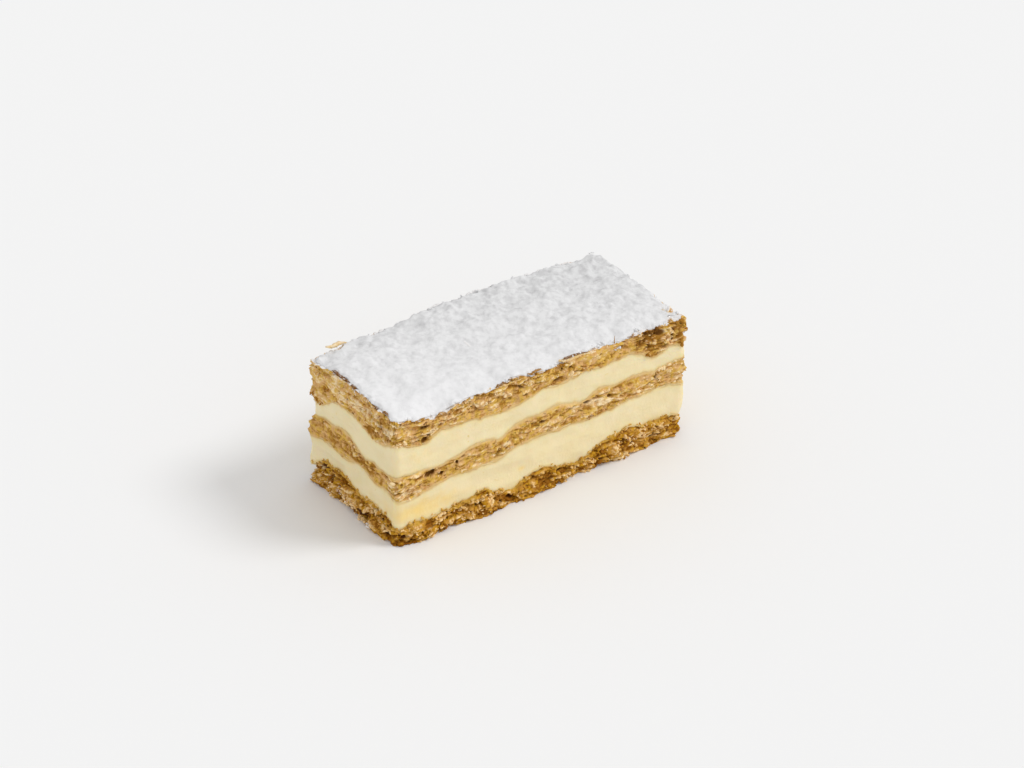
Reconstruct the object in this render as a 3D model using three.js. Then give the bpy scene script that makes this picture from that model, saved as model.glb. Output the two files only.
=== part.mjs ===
// A mille feuille slice: three sheets of puff pastry with two layers of custard cream
// between them, and icing sugar on top. A knife has cut all four sides, so every layer
// shows all round. Millimetres, +Z up. X runs along the slice, and the long side at -Y
// is its front. The origin is the middle of the footprint, on the table.
import * as THREE from "three";
import { mergeVertices } from "three/addons/utils/BufferGeometryUtils.js";

// ---- Driving sizes ------------------------------------------------------------------

const LENGTH = 118; // cut block, along X
const WIDTH = 50; // cut block, along Y
const CORNER_RADIUS = 2.5; // in plan, where two cuts meet
const LAYER_GAP = 0.3; // left between two solids that touch
const SUGAR_THICKNESS = 1.0;
const SUGAR_SETBACK = 0.9; // the sugar ends this far inside the top sheet's edge
const SUGAR_WAVER = 0.6; // more or less by this much

// The outline is followed counter-clockwise from the front left corner.
const PERIMETER = 2 * (LENGTH + WIDTH);
const RIGHT_END_START = LENGTH;
const BACK_START = LENGTH + WIDTH;
const LEFT_END_START = 2 * LENGTH + WIDTH;

// Each meeting line between two layers rises and falls along the cut. Its heights are
// given at even steps: FRONT_STEPS along a long side and END_STEPS along an end. Every
// list starts at the corner where its side does. A side that is not listed wanders about
// the height of the others.
const FRONT_STEPS = 20;
const END_STEPS = 8;
const SHEET_LINES = {
  baseTop: {
    front: [6, 7, 6.5, 7, 6.5, 8, 8.5, 6, 5, 8, 8.8, 6.3, 5.5, 5.8, 9, 9.5, 11, 9.5, 9, 9.3, 7.5],
    left: [6, 9.8, 10.5, 10.5, 9.8, 8.8, 9.6, 9.3],
    others: 8.2,
    wander: 1.6,
  },
  middleUnderside: {
    front: [16.8, 16.3, 17.3, 18.3, 18.5, 18, 18.3, 18.3, 20.5, 20.8, 21, 20.5, 21, 20.3, 20, 20.5,
      21.5, 21.5, 22, 21.5, 20],
    left: [17.5, 18, 18.3, 17.6, 19, 20, 18, 18.6],
    others: 19.5,
    wander: 1.1,
  },
  middleTop: {
    front: [26.5, 26.5, 25.8, 25.2, 26.3, 28, 28.5, 26.8, 29, 30.5, 30.5, 31.3, 29.5, 28.5, 31.3,
      30.5, 31, 30.8, 29.5, 30.5, 32],
    left: [26, 27.5, 28, 29.8, 28.5, 25.3, 26.3, 26],
    others: 29,
    wander: 1.5,
  },
  topUnderside: {
    front: [38.5, 37, 35.8, 38.5, 38, 38, 37.3, 36.7, 36.8, 37.6, 39.5, 38.6, 38.8, 40, 39.2, 39.5,
      40, 38, 35, 37.5, 36],
    left: [31.5, 32.3, 36.5, 38.2, 38, 36.8, 35.8, 36.3],
    others: 38.3,
    wander: 1.6,
  },
  topFace: {
    front: [47.9, 46.9, 45.4, 45.2, 46, 46.7, 46.8, 46.9, 48, 47.2, 46.2, 46.2, 46.5, 47.2, 47.7,
      47, 46.2, 47.2, 45.5, 45.7, 47.2],
    right: [46.3, 46.8, 47.2, 48.5, 48.2, 48.2, 48],
    back: [46.8, 48, 49.4, 49.2, 49.3, 49.8, 50, 50, 50.2, 50.5, 50.2, 50.3, 50, 48.8, 48.6, 48.2,
      48.5, 47.9, 47.3],
    left: [46.9, 47.7, 49, 49.5, 49.3, 49.6, 49, 48.6],
    others: 48.7,
    wander: 0.8,
  },
};
const INNER_LEVELS = {
  baseTop: 8,
  middleUnderside: 19.5,
  middleTop: 29,
  topUnderside: 38,
  topFace: 48.8,
};
const EDGE_REACH = 12; // how far in from the cut the meeting lines still rise and fall
const SHOULDER = 4; // a ring of points this far in follows the slope between

// How far the foot of the base sheet stands out past the cut, at the same even steps.
const BASE_FOOT = {
  front: [1, 2.2, 2.4, 1.5, 1.2, 2, 2.8, 2, 1.8, 2.3, 1.8, 0.8, 0.3, 0.5, 0.8, 1.2, 0.6, 0.5, 0.6,
    0.3, 0],
  left: [1.2, 1.8, 1.6, 1.3, 1.2, 2.6, 1.8, 0.8],
  others: 1,
  wander: 0.8,
};

// Where the cut sides swell, lean or have lost flakes: [distance along the outline,
// height, half width, half height, how far out, or in when negative].
const SWELLINGS = [
  [0, 20, 7, 11, 0.3],
  [118, 32, 10, 26, 1.2],
  [227, 45, 60, 9, 0.9],
  [286, 34, 6, 3.2, 1.9],
  [286, 18, 7, 11, 1.6],
];
const HOLLOWS = [
  [8, 43.6, 4, 1.3, -1.5],
  [12, 38.2, 3, 1.6, -1.3],
  [66, 41, 3, 1.3, -1.2],
  [103, 43.5, 5, 2.2, -1.6],
  [14, 24, 6, 1.3, -1.1],
  [72, 27, 4, 1.3, -1.1],
  [32, 4.5, 4, 1.6, -1.3],
  [92, 5, 3, 2, -1.3],
  [106, 3, 4, 1.8, -1.3],
  [318, 3.2, 3.4, 2.2, -2.2],
  [302, 4.2, 3, 1.6, -1.3],
  [144, 42, 4, 1.5, -1.2],
  [196, 24.5, 5, 1.3, -1.1],
  [238, 43, 5, 1.5, -1.3],
  [262, 4, 4, 1.6, -1.3],
];

// Stretches of the top edge where the sugar ends further in: [distance along the
// outline, half length, extra setback].
const BARE_EDGES = [
  [105, 9, 1.2],
  [276, 6, 1.2],
  [168, 5, 1],
];

// ---- Small helpers ------------------------------------------------------------------

// A smooth rise from 0 to 1 as t goes from 0 to 1.
function ease(t) {
  const clamped = Math.min(1, Math.max(0, t));
  return clamped * clamped * (3 - 2 * clamped);
}

// A repeatable value from -1 to 1 for the lattice point i, j of one pattern.
function speckle(i, j, pattern) {
  const wave = Math.sin(i * 127.1 + j * 311.7 + pattern * 74.7) * 43758.5453;
  return 2 * (wave - Math.floor(wave)) - 1;
}

// Smooth noise from -1 to 1: speckles at whole numbers of x and y, eased in between.
// With a period, the pattern repeats along x and so closes round the outline.
function softNoise(x, y, pattern, period = Infinity) {
  const i = Math.floor(x);
  const j = Math.floor(y);
  const wrap = (n) => (period === Infinity ? n : ((n % period) + period) % period);
  const along = ease(x - i);
  const across = ease(y - j);
  const row = (k) =>
    speckle(wrap(i), k, pattern) * (1 - along) + speckle(wrap(i + 1), k, pattern) * along;
  return row(j) * (1 - across) + row(j + 1) * across;
}

// ---- Meeting lines ------------------------------------------------------------------

// The heights at every step round the outline. On a side that isn't listed, each step
// blends the corners' heights into the side's own, and adds a speckle.
function stepsAllRound(line, pattern) {
  const between = (start, end, count, offset) =>
    Array.from({ length: count - 1 }, (_, k) => {
      const share = (k + 1) / count;
      const corners = start + (end - start) * share;
      const inward = ease(4 * Math.min(share, 1 - share));
      const drift = line.wander * speckle(k, offset, pattern);
      return corners + (line.others - corners + drift) * inward;
    });
  const frontRight = line.front[FRONT_STEPS];
  const backLeft = line.left[0];
  const backRight = (frontRight + backLeft) / 2;
  return [
    ...line.front,
    ...(line.right ?? between(frontRight, backRight, END_STEPS, 1)),
    backRight,
    ...(line.back ?? between(backRight, backLeft, FRONT_STEPS, 2)),
    ...line.left,
  ];
}

// Where a distance along the outline falls, counted in steps from the first corner.
function stepAt(along) {
  const perLong = LENGTH / FRONT_STEPS;
  const perEnd = WIDTH / END_STEPS;
  if (along < RIGHT_END_START) return along / perLong;
  if (along < BACK_START) return FRONT_STEPS + (along - RIGHT_END_START) / perEnd;
  if (along < LEFT_END_START) return FRONT_STEPS + END_STEPS + (along - BACK_START) / perLong;
  return 2 * FRONT_STEPS + END_STEPS + (along - LEFT_END_START) / perEnd;
}

// A closed Catmull-Rom curve through a line's heights, as a function of the distance.
function closedLine(line, pattern) {
  const heights = stepsAllRound(line, pattern);
  const count = heights.length;
  const at = (k) => heights[((k % count) + count) % count];
  return (along) => {
    const step = stepAt(along);
    const k = Math.floor(step);
    const t = step - k;
    const [a, b, c, d] = [at(k - 1), at(k), at(k + 1), at(k + 2)];
    const slope = (c - a) / 2;
    const nextSlope = (d - b) / 2;
    const bend = 3 * (c - b) - 2 * slope - nextSlope;
    const twist = 2 * (b - c) + slope + nextSlope;
    return b + t * (slope + t * (bend + t * twist));
  };
}

const edgeHeight = {};
Object.entries(SHEET_LINES).forEach(([name, line], k) => {
  edgeHeight[name] = closedLine(line, k + 1);
});
const FOOT_PATTERN = 6;
const footJut = closedLine(BASE_FOOT, FOOT_PATTERN);

// The height of a meeting surface: its line at the cut, easing to its level inside.
function meeting(name, point) {
  const inner = INNER_LEVELS[name];
  const share = 1 - ease(point.inset / EDGE_REACH);
  return inner + (edgeHeight[name](point.along) - inner) * share;
}

// Inside the cut the top face rises towards the back, and it is blistered all over.
const BACK_RISE = 1.8;
const BLISTER_SIZE = 7;
const BLISTER_HEIGHT = 0.45;
const BLISTER_PATTERN = 9;
function topFace(point) {
  const rise = BACK_RISE * (point.y / WIDTH) * ease(point.inset / EDGE_REACH);
  const blister = softNoise(point.x / BLISTER_SIZE, point.y / BLISTER_SIZE, BLISTER_PATTERN);
  return meeting("topFace", point) + rise + BLISTER_HEIGHT * blister;
}

// ---- Rings and shells ---------------------------------------------------------------

// Columns of points on each side of a ring, fine at the cut and coarser further in.
const FINE = { long: 48, end: 20 };
const HALF = { long: 24, end: 10 };
const INNER = { long: 12, end: 5 };
const CREAM = { long: 32, end: 14 };

// The points of a square from -1 to 1 on each axis, walked from its front left corner,
// each with its distance along the slice's outline.
function squareWalk({ long, end }) {
  const sides = [
    { count: long, length: LENGTH, place: (t) => [2 * t - 1, -1] },
    { count: end, length: WIDTH, place: (t) => [1, 2 * t - 1] },
    { count: long, length: LENGTH, place: (t) => [1 - 2 * t, 1] },
    { count: end, length: WIDTH, place: (t) => [-1, 1 - 2 * t] },
  ];
  let start = 0;
  return sides.flatMap(({ count, length, place }) => {
    const from = start;
    start += length;
    return Array.from({ length: count }, (_, k) => {
      const [across, deep] = place(k / count);
      return { along: from + (length * k) / count, across, deep };
    });
  });
}

// A point of the slice's plan, a given distance inside the cut, with rounded corners.
function planPoint(walk, inset) {
  const halfX = LENGTH / 2 - inset;
  const halfY = WIDTH / 2 - inset;
  let x = walk.across * halfX;
  let y = walk.deep * halfY;
  const overX = Math.abs(x) - (halfX - CORNER_RADIUS);
  const overY = Math.abs(y) - (halfY - CORNER_RADIUS);
  if (overX > 0 && overY > 0) {
    const pull = CORNER_RADIUS / Math.hypot(overX, overY);
    x = Math.sign(x) * (halfX - CORNER_RADIUS + overX * pull);
    y = Math.sign(y) * (halfY - CORNER_RADIUS + overY * pull);
  }
  return { x, y, inset, along: walk.along };
}

// A ring of points. inset and height may be numbers or functions of a point.
function ring(columns, inset, height) {
  return squareWalk(columns).map((walk) => {
    const depth = typeof inset === "function" ? inset(walk) : inset;
    const point = planPoint(walk, depth);
    return new THREE.Vector3(point.x, point.y, height(point));
  });
}

// The triangles between two rings, which may have different numbers of points. Two
// layers' facing rings are split the same way, whichever of them comes first.
function strip(outer, outerStart, inner, innerStart) {
  const faces = [];
  let i = 0;
  let j = 0;
  while (i < outer || j < inner) {
    const a = outerStart + (i % outer);
    const b = innerStart + (j % inner);
    const lead = (i + 1) * inner - (j + 1) * outer;
    if (lead < 0 || (lead === 0 && outer >= inner)) {
      faces.push(a, outerStart + ((i + 1) % outer), b);
      i += 1;
    } else {
      faces.push(a, innerStart + ((j + 1) % inner), b);
      j += 1;
    }
  }
  return faces;
}

// Fills a ring of INNER columns with a strip of triangles that crosses from its front to
// its back, from the middle of the left end to the middle of the right end.
function fill(start) {
  const count = 2 * (INNER.long + INNER.end);
  const at = (k) => start + ((k + 2 * count) % count);
  const faces = [];
  for (let k = -(INNER.end - 1) / 2; k < INNER.long + (INNER.end - 1) / 2; k += 1) {
    const across = count - INNER.end - k;
    faces.push(at(k), at(k + 1), at(across - 1), at(k), at(across - 1), at(across));
  }
  return faces;
}

// A closed shell from rings that run out over the underside, up the side and in over the
// top. Its first and last rings have INNER columns.
function shell(rings) {
  const points = rings.flat();
  const faces = [];
  let start = 0;
  for (let k = 0; k + 1 < rings.length; k += 1) {
    const next = start + rings[k].length;
    faces.push(...strip(rings[k].length, start, rings[k + 1].length, next));
    start = next;
  }
  faces.push(...fill(0).reverse(), ...fill(start));
  const geometry = new THREE.BufferGeometry().setFromPoints(points).setIndex(faces);
  const merged = mergeVertices(geometry, 1e-4);
  merged.computeVertexNormals();
  return merged;
}

// ---- Pastry sheets ------------------------------------------------------------------

const CRAG_CELLS = 67; // round the outline, so about 5 mm each
const CRAG_HEIGHT = 2.4; // height of a crag, as the leaves of pastry lie flat
const CRUMB_SHARE = 0.35; // of the relief, in crumbs half as large as the crags
const RIM_TUCK = 0.35; // a sheet's upper and lower rims are tucked in this much
const SHEET_ROWS = 5;

// How far a list of swellings or hollows moves a point of a cut side outwards.
function bumps(list, along, z) {
  return list.reduce((total, [where, height, halfWide, halfTall, out]) => {
    const direct = Math.abs(along - where);
    const apart = Math.min(direct, PERIMETER - direct) / halfWide;
    return total + out * (1 - ease(Math.hypot(apart, (z - height) / halfTall)));
  }, 0);
}

// How far a point of a sheet's side stands out from the cut: leaves that jut by
// different amounts, smaller crumbs on them, and the hollows.
function crags(along, z, { jut, rough, pattern }) {
  const cell = (along / PERIMETER) * CRAG_CELLS;
  const leaves = softNoise(cell, z / CRAG_HEIGHT, pattern, CRAG_CELLS);
  const crumbs = softNoise(2 * cell, (2 * z) / CRAG_HEIGHT, pattern + 20, 2 * CRAG_CELLS);
  const relief = rough * ((1 - CRUMB_SHARE) * leaves + CRUMB_SHARE * crumbs);
  return jut + relief + bumps(SWELLINGS, along, z) + bumps(HOLLOWS, along, z);
}

// One sheet of pastry. under and over give its two faces' heights at a point.
function pastrySheet({ under, over, foot = () => 0, topRings, ...cut }) {
  const side = Array.from({ length: SHEET_ROWS + 1 }, (_, row) => {
    const share = row / SHEET_ROWS;
    const tuck = row === 0 || row === SHEET_ROWS ? RIM_TUCK : 0;
    return squareWalk(FINE).map((walk) => {
      const edge = planPoint(walk, 0);
      const z = under(edge) * (1 - share) + over(edge) * share;
      const stand = crags(walk.along, z, cut) + foot(walk.along) * (1 - ease(share));
      const point = planPoint(walk, tuck - stand);
      return new THREE.Vector3(point.x, point.y, z);
    });
  });
  return shell([
    ring(INNER, EDGE_REACH, under),
    ring(HALF, SHOULDER, under),
    ...side,
    ...(topRings ?? [ring(HALF, SHOULDER, over), ring(INNER, EDGE_REACH, over)]),
  ]);
}

// ---- Cream layers -------------------------------------------------------------------

const CREAM_ROWS = 3;
const DRAG_DEPTH = 0.7; // the knife drags the cream in by up to this
const DRAG_CELLS = 28; // round the outline, so about 12 mm each
const DRAG_HEIGHT = 6;

function creamLayer({ under, over, pattern }) {
  const side = Array.from({ length: CREAM_ROWS + 1 }, (_, row) => {
    const share = row / CREAM_ROWS;
    const columns = row === 0 || row === CREAM_ROWS ? FINE : CREAM;
    return squareWalk(columns).map((walk) => {
      const edge = planPoint(walk, 0);
      const z = under(edge) * (1 - share) + over(edge) * share;
      const cell = (walk.along / PERIMETER) * DRAG_CELLS;
      const drag = softNoise(cell, z / DRAG_HEIGHT, pattern, DRAG_CELLS);
      const inset = DRAG_DEPTH * Math.max(0, drag) - bumps(SWELLINGS, walk.along, z);
      const point = planPoint(walk, inset);
      return new THREE.Vector3(point.x, point.y, z);
    });
  });
  return shell([
    ring(INNER, EDGE_REACH, under),
    ring(HALF, SHOULDER, under),
    ...side,
    ring(HALF, SHOULDER, over),
    ring(INNER, EDGE_REACH, over),
  ]);
}

// ---- Sugar --------------------------------------------------------------------------

// The top sheet's face and the sugar share these rings, so they run exactly parallel.
const FACE_RINGS = [
  [FINE, 3.2],
  [HALF, 6],
  [HALF, 9.5],
  [HALF, 13],
  [INNER, 17],
  [INNER, 21],
];
const faceRings = (lift) =>
  FACE_RINGS.map(([columns, inset]) => ring(columns, inset, (p) => topFace(p) + lift));

// The sugar's edge wavers, and ends further in where it has fallen off.
const WAVERS = 56; // round the outline
const WAVER_PATTERN = 31;
function setback({ along }) {
  const waver = softNoise((along / PERIMETER) * WAVERS, 0, WAVER_PATTERN, WAVERS);
  const bare = BARE_EDGES.map(([where, half, extra]) => {
    return extra * (1 - ease(Math.abs(along - where) / half));
  });
  return SUGAR_SETBACK + SUGAR_WAVER * waver + Math.max(...bare);
}

const EDGE_SLOPE = 0.3; // the sugar's edge leans in by this much
const EDGE_THICKNESS = 0.7; // and is this thick
function sugarCap() {
  const lowest = LAYER_GAP / 2;
  return shell([
    ...faceRings(lowest).reverse(),
    ring(FINE, setback, (p) => topFace(p) + lowest),
    ring(FINE, (walk) => setback(walk) + EDGE_SLOPE, (p) => topFace(p) + EDGE_THICKNESS),
    ...faceRings(lowest + SUGAR_THICKNESS),
  ]);
}

// ---- The slice ----------------------------------------------------------------------

const above = (name) => (point) => meeting(name, point) + LAYER_GAP / 2;
const below = (name) => (point) => meeting(name, point) - LAYER_GAP / 2;

const crust = new THREE.MeshStandardMaterial({ color: 0xb07c3a, roughness: 0.8 });
const paleCrust = new THREE.MeshStandardMaterial({ color: 0xc89c60, roughness: 0.85 });
const custard = new THREE.MeshStandardMaterial({ color: 0xf0ddb1, roughness: 0.5 });
const sugar = new THREE.MeshStandardMaterial({ color: 0xe9e9ea, roughness: 0.95 });

function layer(name, geometry, material) {
  const mesh = new THREE.Mesh(geometry, material);
  mesh.name = name;
  return mesh;
}

const slice = new THREE.Group();
slice.add(
  layer(
    "base_pastry",
    pastrySheet({
      under: () => 0,
      over: below("baseTop"),
      foot: footJut,
      jut: 0.2,
      rough: 1.1,
      pattern: 11,
    }),
    crust,
  ),
  layer(
    "lower_cream",
    creamLayer({ under: above("baseTop"), over: below("middleUnderside"), pattern: 41 }),
    custard,
  ),
  layer(
    "middle_pastry",
    pastrySheet({
      under: above("middleUnderside"),
      over: below("middleTop"),
      jut: 0.1,
      rough: 0.9,
      pattern: 12,
    }),
    paleCrust,
  ),
  layer(
    "upper_cream",
    creamLayer({ under: above("middleTop"), over: below("topUnderside"), pattern: 42 }),
    custard,
  ),
  layer(
    "top_pastry",
    pastrySheet({
      under: above("topUnderside"),
      over: (p) => topFace(p) - LAYER_GAP / 2,
      topRings: faceRings(-LAYER_GAP / 2),
      jut: 0.3,
      rough: 1,
      pattern: 13,
    }),
    paleCrust,
  ),
  layer("icing_sugar", sugarCap(), sugar),
);

// The crags are uneven, so the slice is set down with its footprint's middle at the origin.
const bounds = new THREE.Box3().setFromObject(slice);
const middle = bounds.getCenter(new THREE.Vector3());
slice.position.set(-middle.x, -middle.y, -bounds.min.z);

export default slice;
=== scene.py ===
# %% [markdown]
# # A slice of mille feuille
#
# A mille feuille slice is a small building: three sheets of puff pastry, two layers of
# custard cream, and a thick dusting of icing sugar for a roof. A knife has cut all four
# sides, so every layer shows all round. In this lesson the six layers are surfaces worked
# out with numpy, the loose flakes are made as whole arrays of small plates, and the
# colours come from node groups that several materials share.
#
# The imported model is the fixed frame. It says where each layer sits and how large it is,
# so it is loaded first.

# %% Load the frame
import math

import bmesh
import bpy
import numpy as np
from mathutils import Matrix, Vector


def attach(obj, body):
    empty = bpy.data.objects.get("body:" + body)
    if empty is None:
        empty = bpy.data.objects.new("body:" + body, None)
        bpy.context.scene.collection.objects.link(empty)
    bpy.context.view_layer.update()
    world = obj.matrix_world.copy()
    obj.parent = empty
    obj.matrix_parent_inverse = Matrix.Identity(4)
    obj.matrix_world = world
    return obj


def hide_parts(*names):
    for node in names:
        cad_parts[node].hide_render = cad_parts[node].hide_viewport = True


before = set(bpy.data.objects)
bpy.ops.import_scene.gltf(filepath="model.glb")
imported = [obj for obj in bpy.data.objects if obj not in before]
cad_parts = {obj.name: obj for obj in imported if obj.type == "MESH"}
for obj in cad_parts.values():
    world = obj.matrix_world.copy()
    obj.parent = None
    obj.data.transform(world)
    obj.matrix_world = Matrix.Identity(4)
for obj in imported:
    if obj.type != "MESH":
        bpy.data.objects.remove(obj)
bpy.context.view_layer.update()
print("nodes in the frame:", sorted(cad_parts))

# %% [markdown]
# ## Camera
#
# Food is often seen by someone who is about to eat it: from above the front left corner,
# a little over half a metre up. A long lens keeps the slice's edges almost parallel. The
# camera could be turned by hand, but aiming it at a point is easier to read and to change:
# the direction from the camera to its aim becomes the turn.

# %% The camera
MM = 0.001
CAMERA_PLACE = Vector((-0.5147, -0.7318, 0.5988))
CAMERA_AIM = Vector((0.0301, 0.0346, 0.0))
LENS_MM = 110.0
SENSOR_MM = 36.0

camera_data = bpy.data.cameras.new("camera")
camera_data.lens = LENS_MM
camera_data.sensor_width = SENSOR_MM
camera = bpy.data.objects.new("camera", camera_data)
camera.location = CAMERA_PLACE
camera.rotation_euler = (CAMERA_AIM - CAMERA_PLACE).to_track_quat("-Z", "Y").to_euler()
bpy.context.scene.collection.objects.link(camera)
bpy.context.scene.camera = camera
print("camera distance in metres:", round((CAMERA_AIM - CAMERA_PLACE).length, 3))

# %% [markdown]
# ## Light and floor
#
# Pale food on a pale table is lit by a bright room. A white world gives most of the light,
# from all sides, and a very soft sun from the camera's right gives the slice a lit front
# and a shaded left end. A sun lamp was chosen over an area lamp because its strength does
# not depend on distance. The standard view transform keeps white sugar white.

# %% World, sun and floor
ROOM_STRENGTH = 0.74
SUN_STRENGTH = 1.16
SUN_SOFTNESS = math.radians(22)
TO_SUN = Vector((0.578, -0.407, 0.707))
FLOOR_ALBEDO = 0.9
FLOOR_SIZE = 40.0
FLOOR_DROP = 0.00005  # the floor lies a hair under the slice, so that the two don't flicker


def new_material(name, roughness, specular):
    """A plain material, with its node tree and the inputs of its Principled BSDF."""
    material = bpy.data.materials.new(name)
    material.use_nodes = True
    tree = material.node_tree
    shader = tree.nodes["Principled BSDF"].inputs
    shader["Roughness"].default_value = roughness
    shader["Specular IOR Level"].default_value = specular
    return material, tree, shader


scene = bpy.context.scene
scene.view_settings.view_transform = "Standard"
world = bpy.data.worlds.new("room")
world.use_nodes = True
room = world.node_tree.nodes["Background"]
room.inputs["Color"].default_value = (1.0, 1.0, 1.0, 1.0)
room.inputs["Strength"].default_value = ROOM_STRENGTH
scene.world = world

sun_data = bpy.data.lights.new("sun", "SUN")
sun_data.energy = SUN_STRENGTH
sun_data.angle = SUN_SOFTNESS
sun = bpy.data.objects.new("sun", sun_data)
sun.rotation_euler = (-TO_SUN).to_track_quat("-Z", "Y").to_euler()
scene.collection.objects.link(sun)

pale_floor, _, shader = new_material("pale_floor", roughness=1.0, specular=0.0)
shader["Base Color"].default_value = (FLOOR_ALBEDO,) * 3 + (1.0,)

floor_mesh = bpy.data.meshes.new("floor")
half_floor = FLOOR_SIZE / 2
floor_corners = [(-1, -1), (1, -1), (1, 1), (-1, 1)]
floor_points = [(half_floor * x, half_floor * y, -FLOOR_DROP) for x, y in floor_corners]
floor_mesh.from_pydata(floor_points, [], [(0, 1, 2, 3)])
floor = bpy.data.objects.new("floor", floor_mesh)
floor.data.materials.append(pale_floor)
scene.collection.objects.link(floor)
print("the room, the sun and the floor are ready")

# %% [markdown]
# ## Noise to build with
#
# Nothing on a pastry repeats, yet the script has to give the same slice every time. So the
# layers' unevenness comes from three small functions. `speckle` turns a lattice point into a
# repeatable value, `soft_noise` blends speckles into smooth hills, and `cells` splits a
# surface into uneven plates, which is how crumb breaks. Each works on whole arrays, and
# the last two can repeat along their first axis, so that a pattern closes round the slice.
# A pattern number picks one noise out of many, and the numbers only have to differ.
# Blender's own noise could do this too, but only one point at a time.

# %% Noise functions
FREE = 4096  # a period so long that nothing repeats


def ease(t):
    """A smooth rise from 0 to 1 as t goes from 0 to 1: three t squared less two t cubed."""
    t = np.clip(t, 0.0, 1.0)
    return t * t * (3.0 - 2.0 * t)


def speckle(i, j, pattern):
    """A value from -1 to 1 for lattice point i, j: the fraction left of a very large sine."""
    wave = np.sin(i * 127.1 + j * 311.7 + pattern * 74.7) * 43758.5453
    return 2.0 * (wave - np.floor(wave)) - 1.0


def soft_noise(x, y, pattern, period=FREE):
    """Speckles at whole numbers of x and y, eased in between. It repeats along x."""
    i = np.floor(x)
    j = np.floor(y)
    across = ease(x - i)
    up = ease(y - j)
    left = i % period
    right = (i + 1) % period
    lower = speckle(left, j, pattern) * (1 - across) + speckle(right, j, pattern) * across
    upper = speckle(left, j + 1, pattern) * (1 - across) + speckle(right, j + 1, pattern) * across
    return lower * (1 - up) + upper * up


def cells(x, y, pattern, period=FREE):
    """Uneven plates round one seed in each unit square: every point belongs to its nearest
    seed. Gives the distance to that seed, how much further the next one is, which is small
    in the cracks between plates, a value from -1 to 1 for the plate, and a slope: the way
    from the seed, times two more such values, so that each plate tilts its own way."""
    i = np.floor(x)
    j = np.floor(y)
    nearest = np.full(np.shape(x + y), 9.0)
    second = nearest.copy()
    value = np.zeros(nearest.shape)
    slope = value.copy()
    for step_x in (-1, 0, 1):
        for step_y in (-1, 0, 1):
            column = (i + step_x) % period
            row = j + step_y
            seed_x = i + step_x + 0.5 + 0.45 * speckle(column, row, pattern)
            seed_y = row + 0.5 + 0.45 * speckle(column, row, pattern + 0.5)
            apart = np.hypot(x - seed_x, y - seed_y)
            closer = apart < nearest
            second = np.where(closer, nearest, np.minimum(second, apart))
            value = np.where(closer, speckle(column, row, pattern + 0.25), value)
            tilt_x = speckle(column, row, pattern + 0.6) * (x - seed_x)
            tilt_y = speckle(column, row, pattern + 0.8) * (y - seed_y)
            slope = np.where(closer, tilt_x + tilt_y, slope)
            nearest = np.minimum(nearest, apart)
    return nearest, second - nearest, value, slope


print("noise at the first corner:", round(float(soft_noise(0.5, 0.5, 11)), 3))

# %% [markdown]
# ## The cut block's outline
#
# Every layer has the same outline in plan: a rectangle with slightly rounded corners. A
# place on a cut side is told by two numbers, the distance along the outline, counted from
# the front left corner, and the height. A third number, the inset, says how far a point
# lies inside the cut, and a negative one stands out of it. These are the sizes of the
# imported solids, so a layer made with them falls where its solid is.

# %% Outline functions
LENGTH = 118.0
WIDTH = 50.0
CORNER_RADIUS = 2.5
PERIMETER = 2 * (LENGTH + WIDTH)
BACK_START = LENGTH + WIDTH
LEFT_END_START = 2 * LENGTH + WIDTH
# The crags don't stand out alike on all sides, so the middle of the cut block is a little
# off the middle of the whole footprint.
BLOCK_MIDDLE = np.array([0.4778, 0.3658, 0.0])


def outline_walk(long_count, end_count):
    """Even steps round a square from -1 to 1, each with its distance along the outline.
    Gives three arrays: along, across and deep."""
    long_share = np.arange(long_count) / long_count
    end_share = np.arange(end_count) / end_count
    long_way = 2 * long_share - 1
    end_way = 2 * end_share - 1
    along = np.concatenate([
        LENGTH * long_share,
        LENGTH + WIDTH * end_share,
        BACK_START + LENGTH * long_share,
        LEFT_END_START + WIDTH * end_share,
    ])
    across = np.concatenate([long_way, np.ones(end_count), -long_way, -np.ones(end_count)])
    deep = np.concatenate([-np.ones(long_count), end_way, np.ones(long_count), -end_way])
    return along, across, deep


def walk_at(along):
    """The same square's across and deep for any distances along the outline."""
    along = np.asarray(along, float) % PERIMETER
    front = along < LENGTH
    right = (along >= LENGTH) & (along < BACK_START)
    back = (along >= BACK_START) & (along < LEFT_END_START)
    front_way = 2 * along / LENGTH - 1
    right_way = 2 * (along - LENGTH) / WIDTH - 1
    back_way = 1 - 2 * (along - BACK_START) / LENGTH
    left_way = 1 - 2 * (along - LEFT_END_START) / WIDTH
    across = np.select([front, right, back], [front_way, 1.0, back_way], -1.0)
    deep = np.select([front, right, back], [-1.0, right_way, 1.0], left_way)
    return across, deep


def plan_point(across, deep, inset):
    """A point of the plan at an inset: the square stretched to the rectangle, and in the
    corners pulled onto a circle round the corner's centre."""
    half_x = LENGTH / 2 - inset
    half_y = WIDTH / 2 - inset
    x = across * half_x
    y = deep * half_y
    over_x = np.abs(x) - (half_x - CORNER_RADIUS)
    over_y = np.abs(y) - (half_y - CORNER_RADIUS)
    corner = (over_x > 0) & (over_y > 0)
    pull = CORNER_RADIUS / np.maximum(np.hypot(over_x, over_y), 1e-9)
    round_x = np.sign(x) * (half_x - CORNER_RADIUS + over_x * pull)
    round_y = np.sign(y) * (half_y - CORNER_RADIUS + over_y * pull)
    return np.where(corner, round_x, x), np.where(corner, round_y, y)


def round_trip(along, size):
    """The distance along the outline counted in whole numbers of cells of about a size,
    with how many there are, so that a pattern in those cells closes on itself."""
    count = round(PERIMETER / size)
    return along / PERIMETER * count, count


def cut_noise(along, z, wide, tall, pattern):
    """Soft noise on the cut sides, with hills of a width and a height."""
    cell, count = round_trip(along, wide)
    return soft_noise(cell, z / tall, pattern, count)


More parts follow.
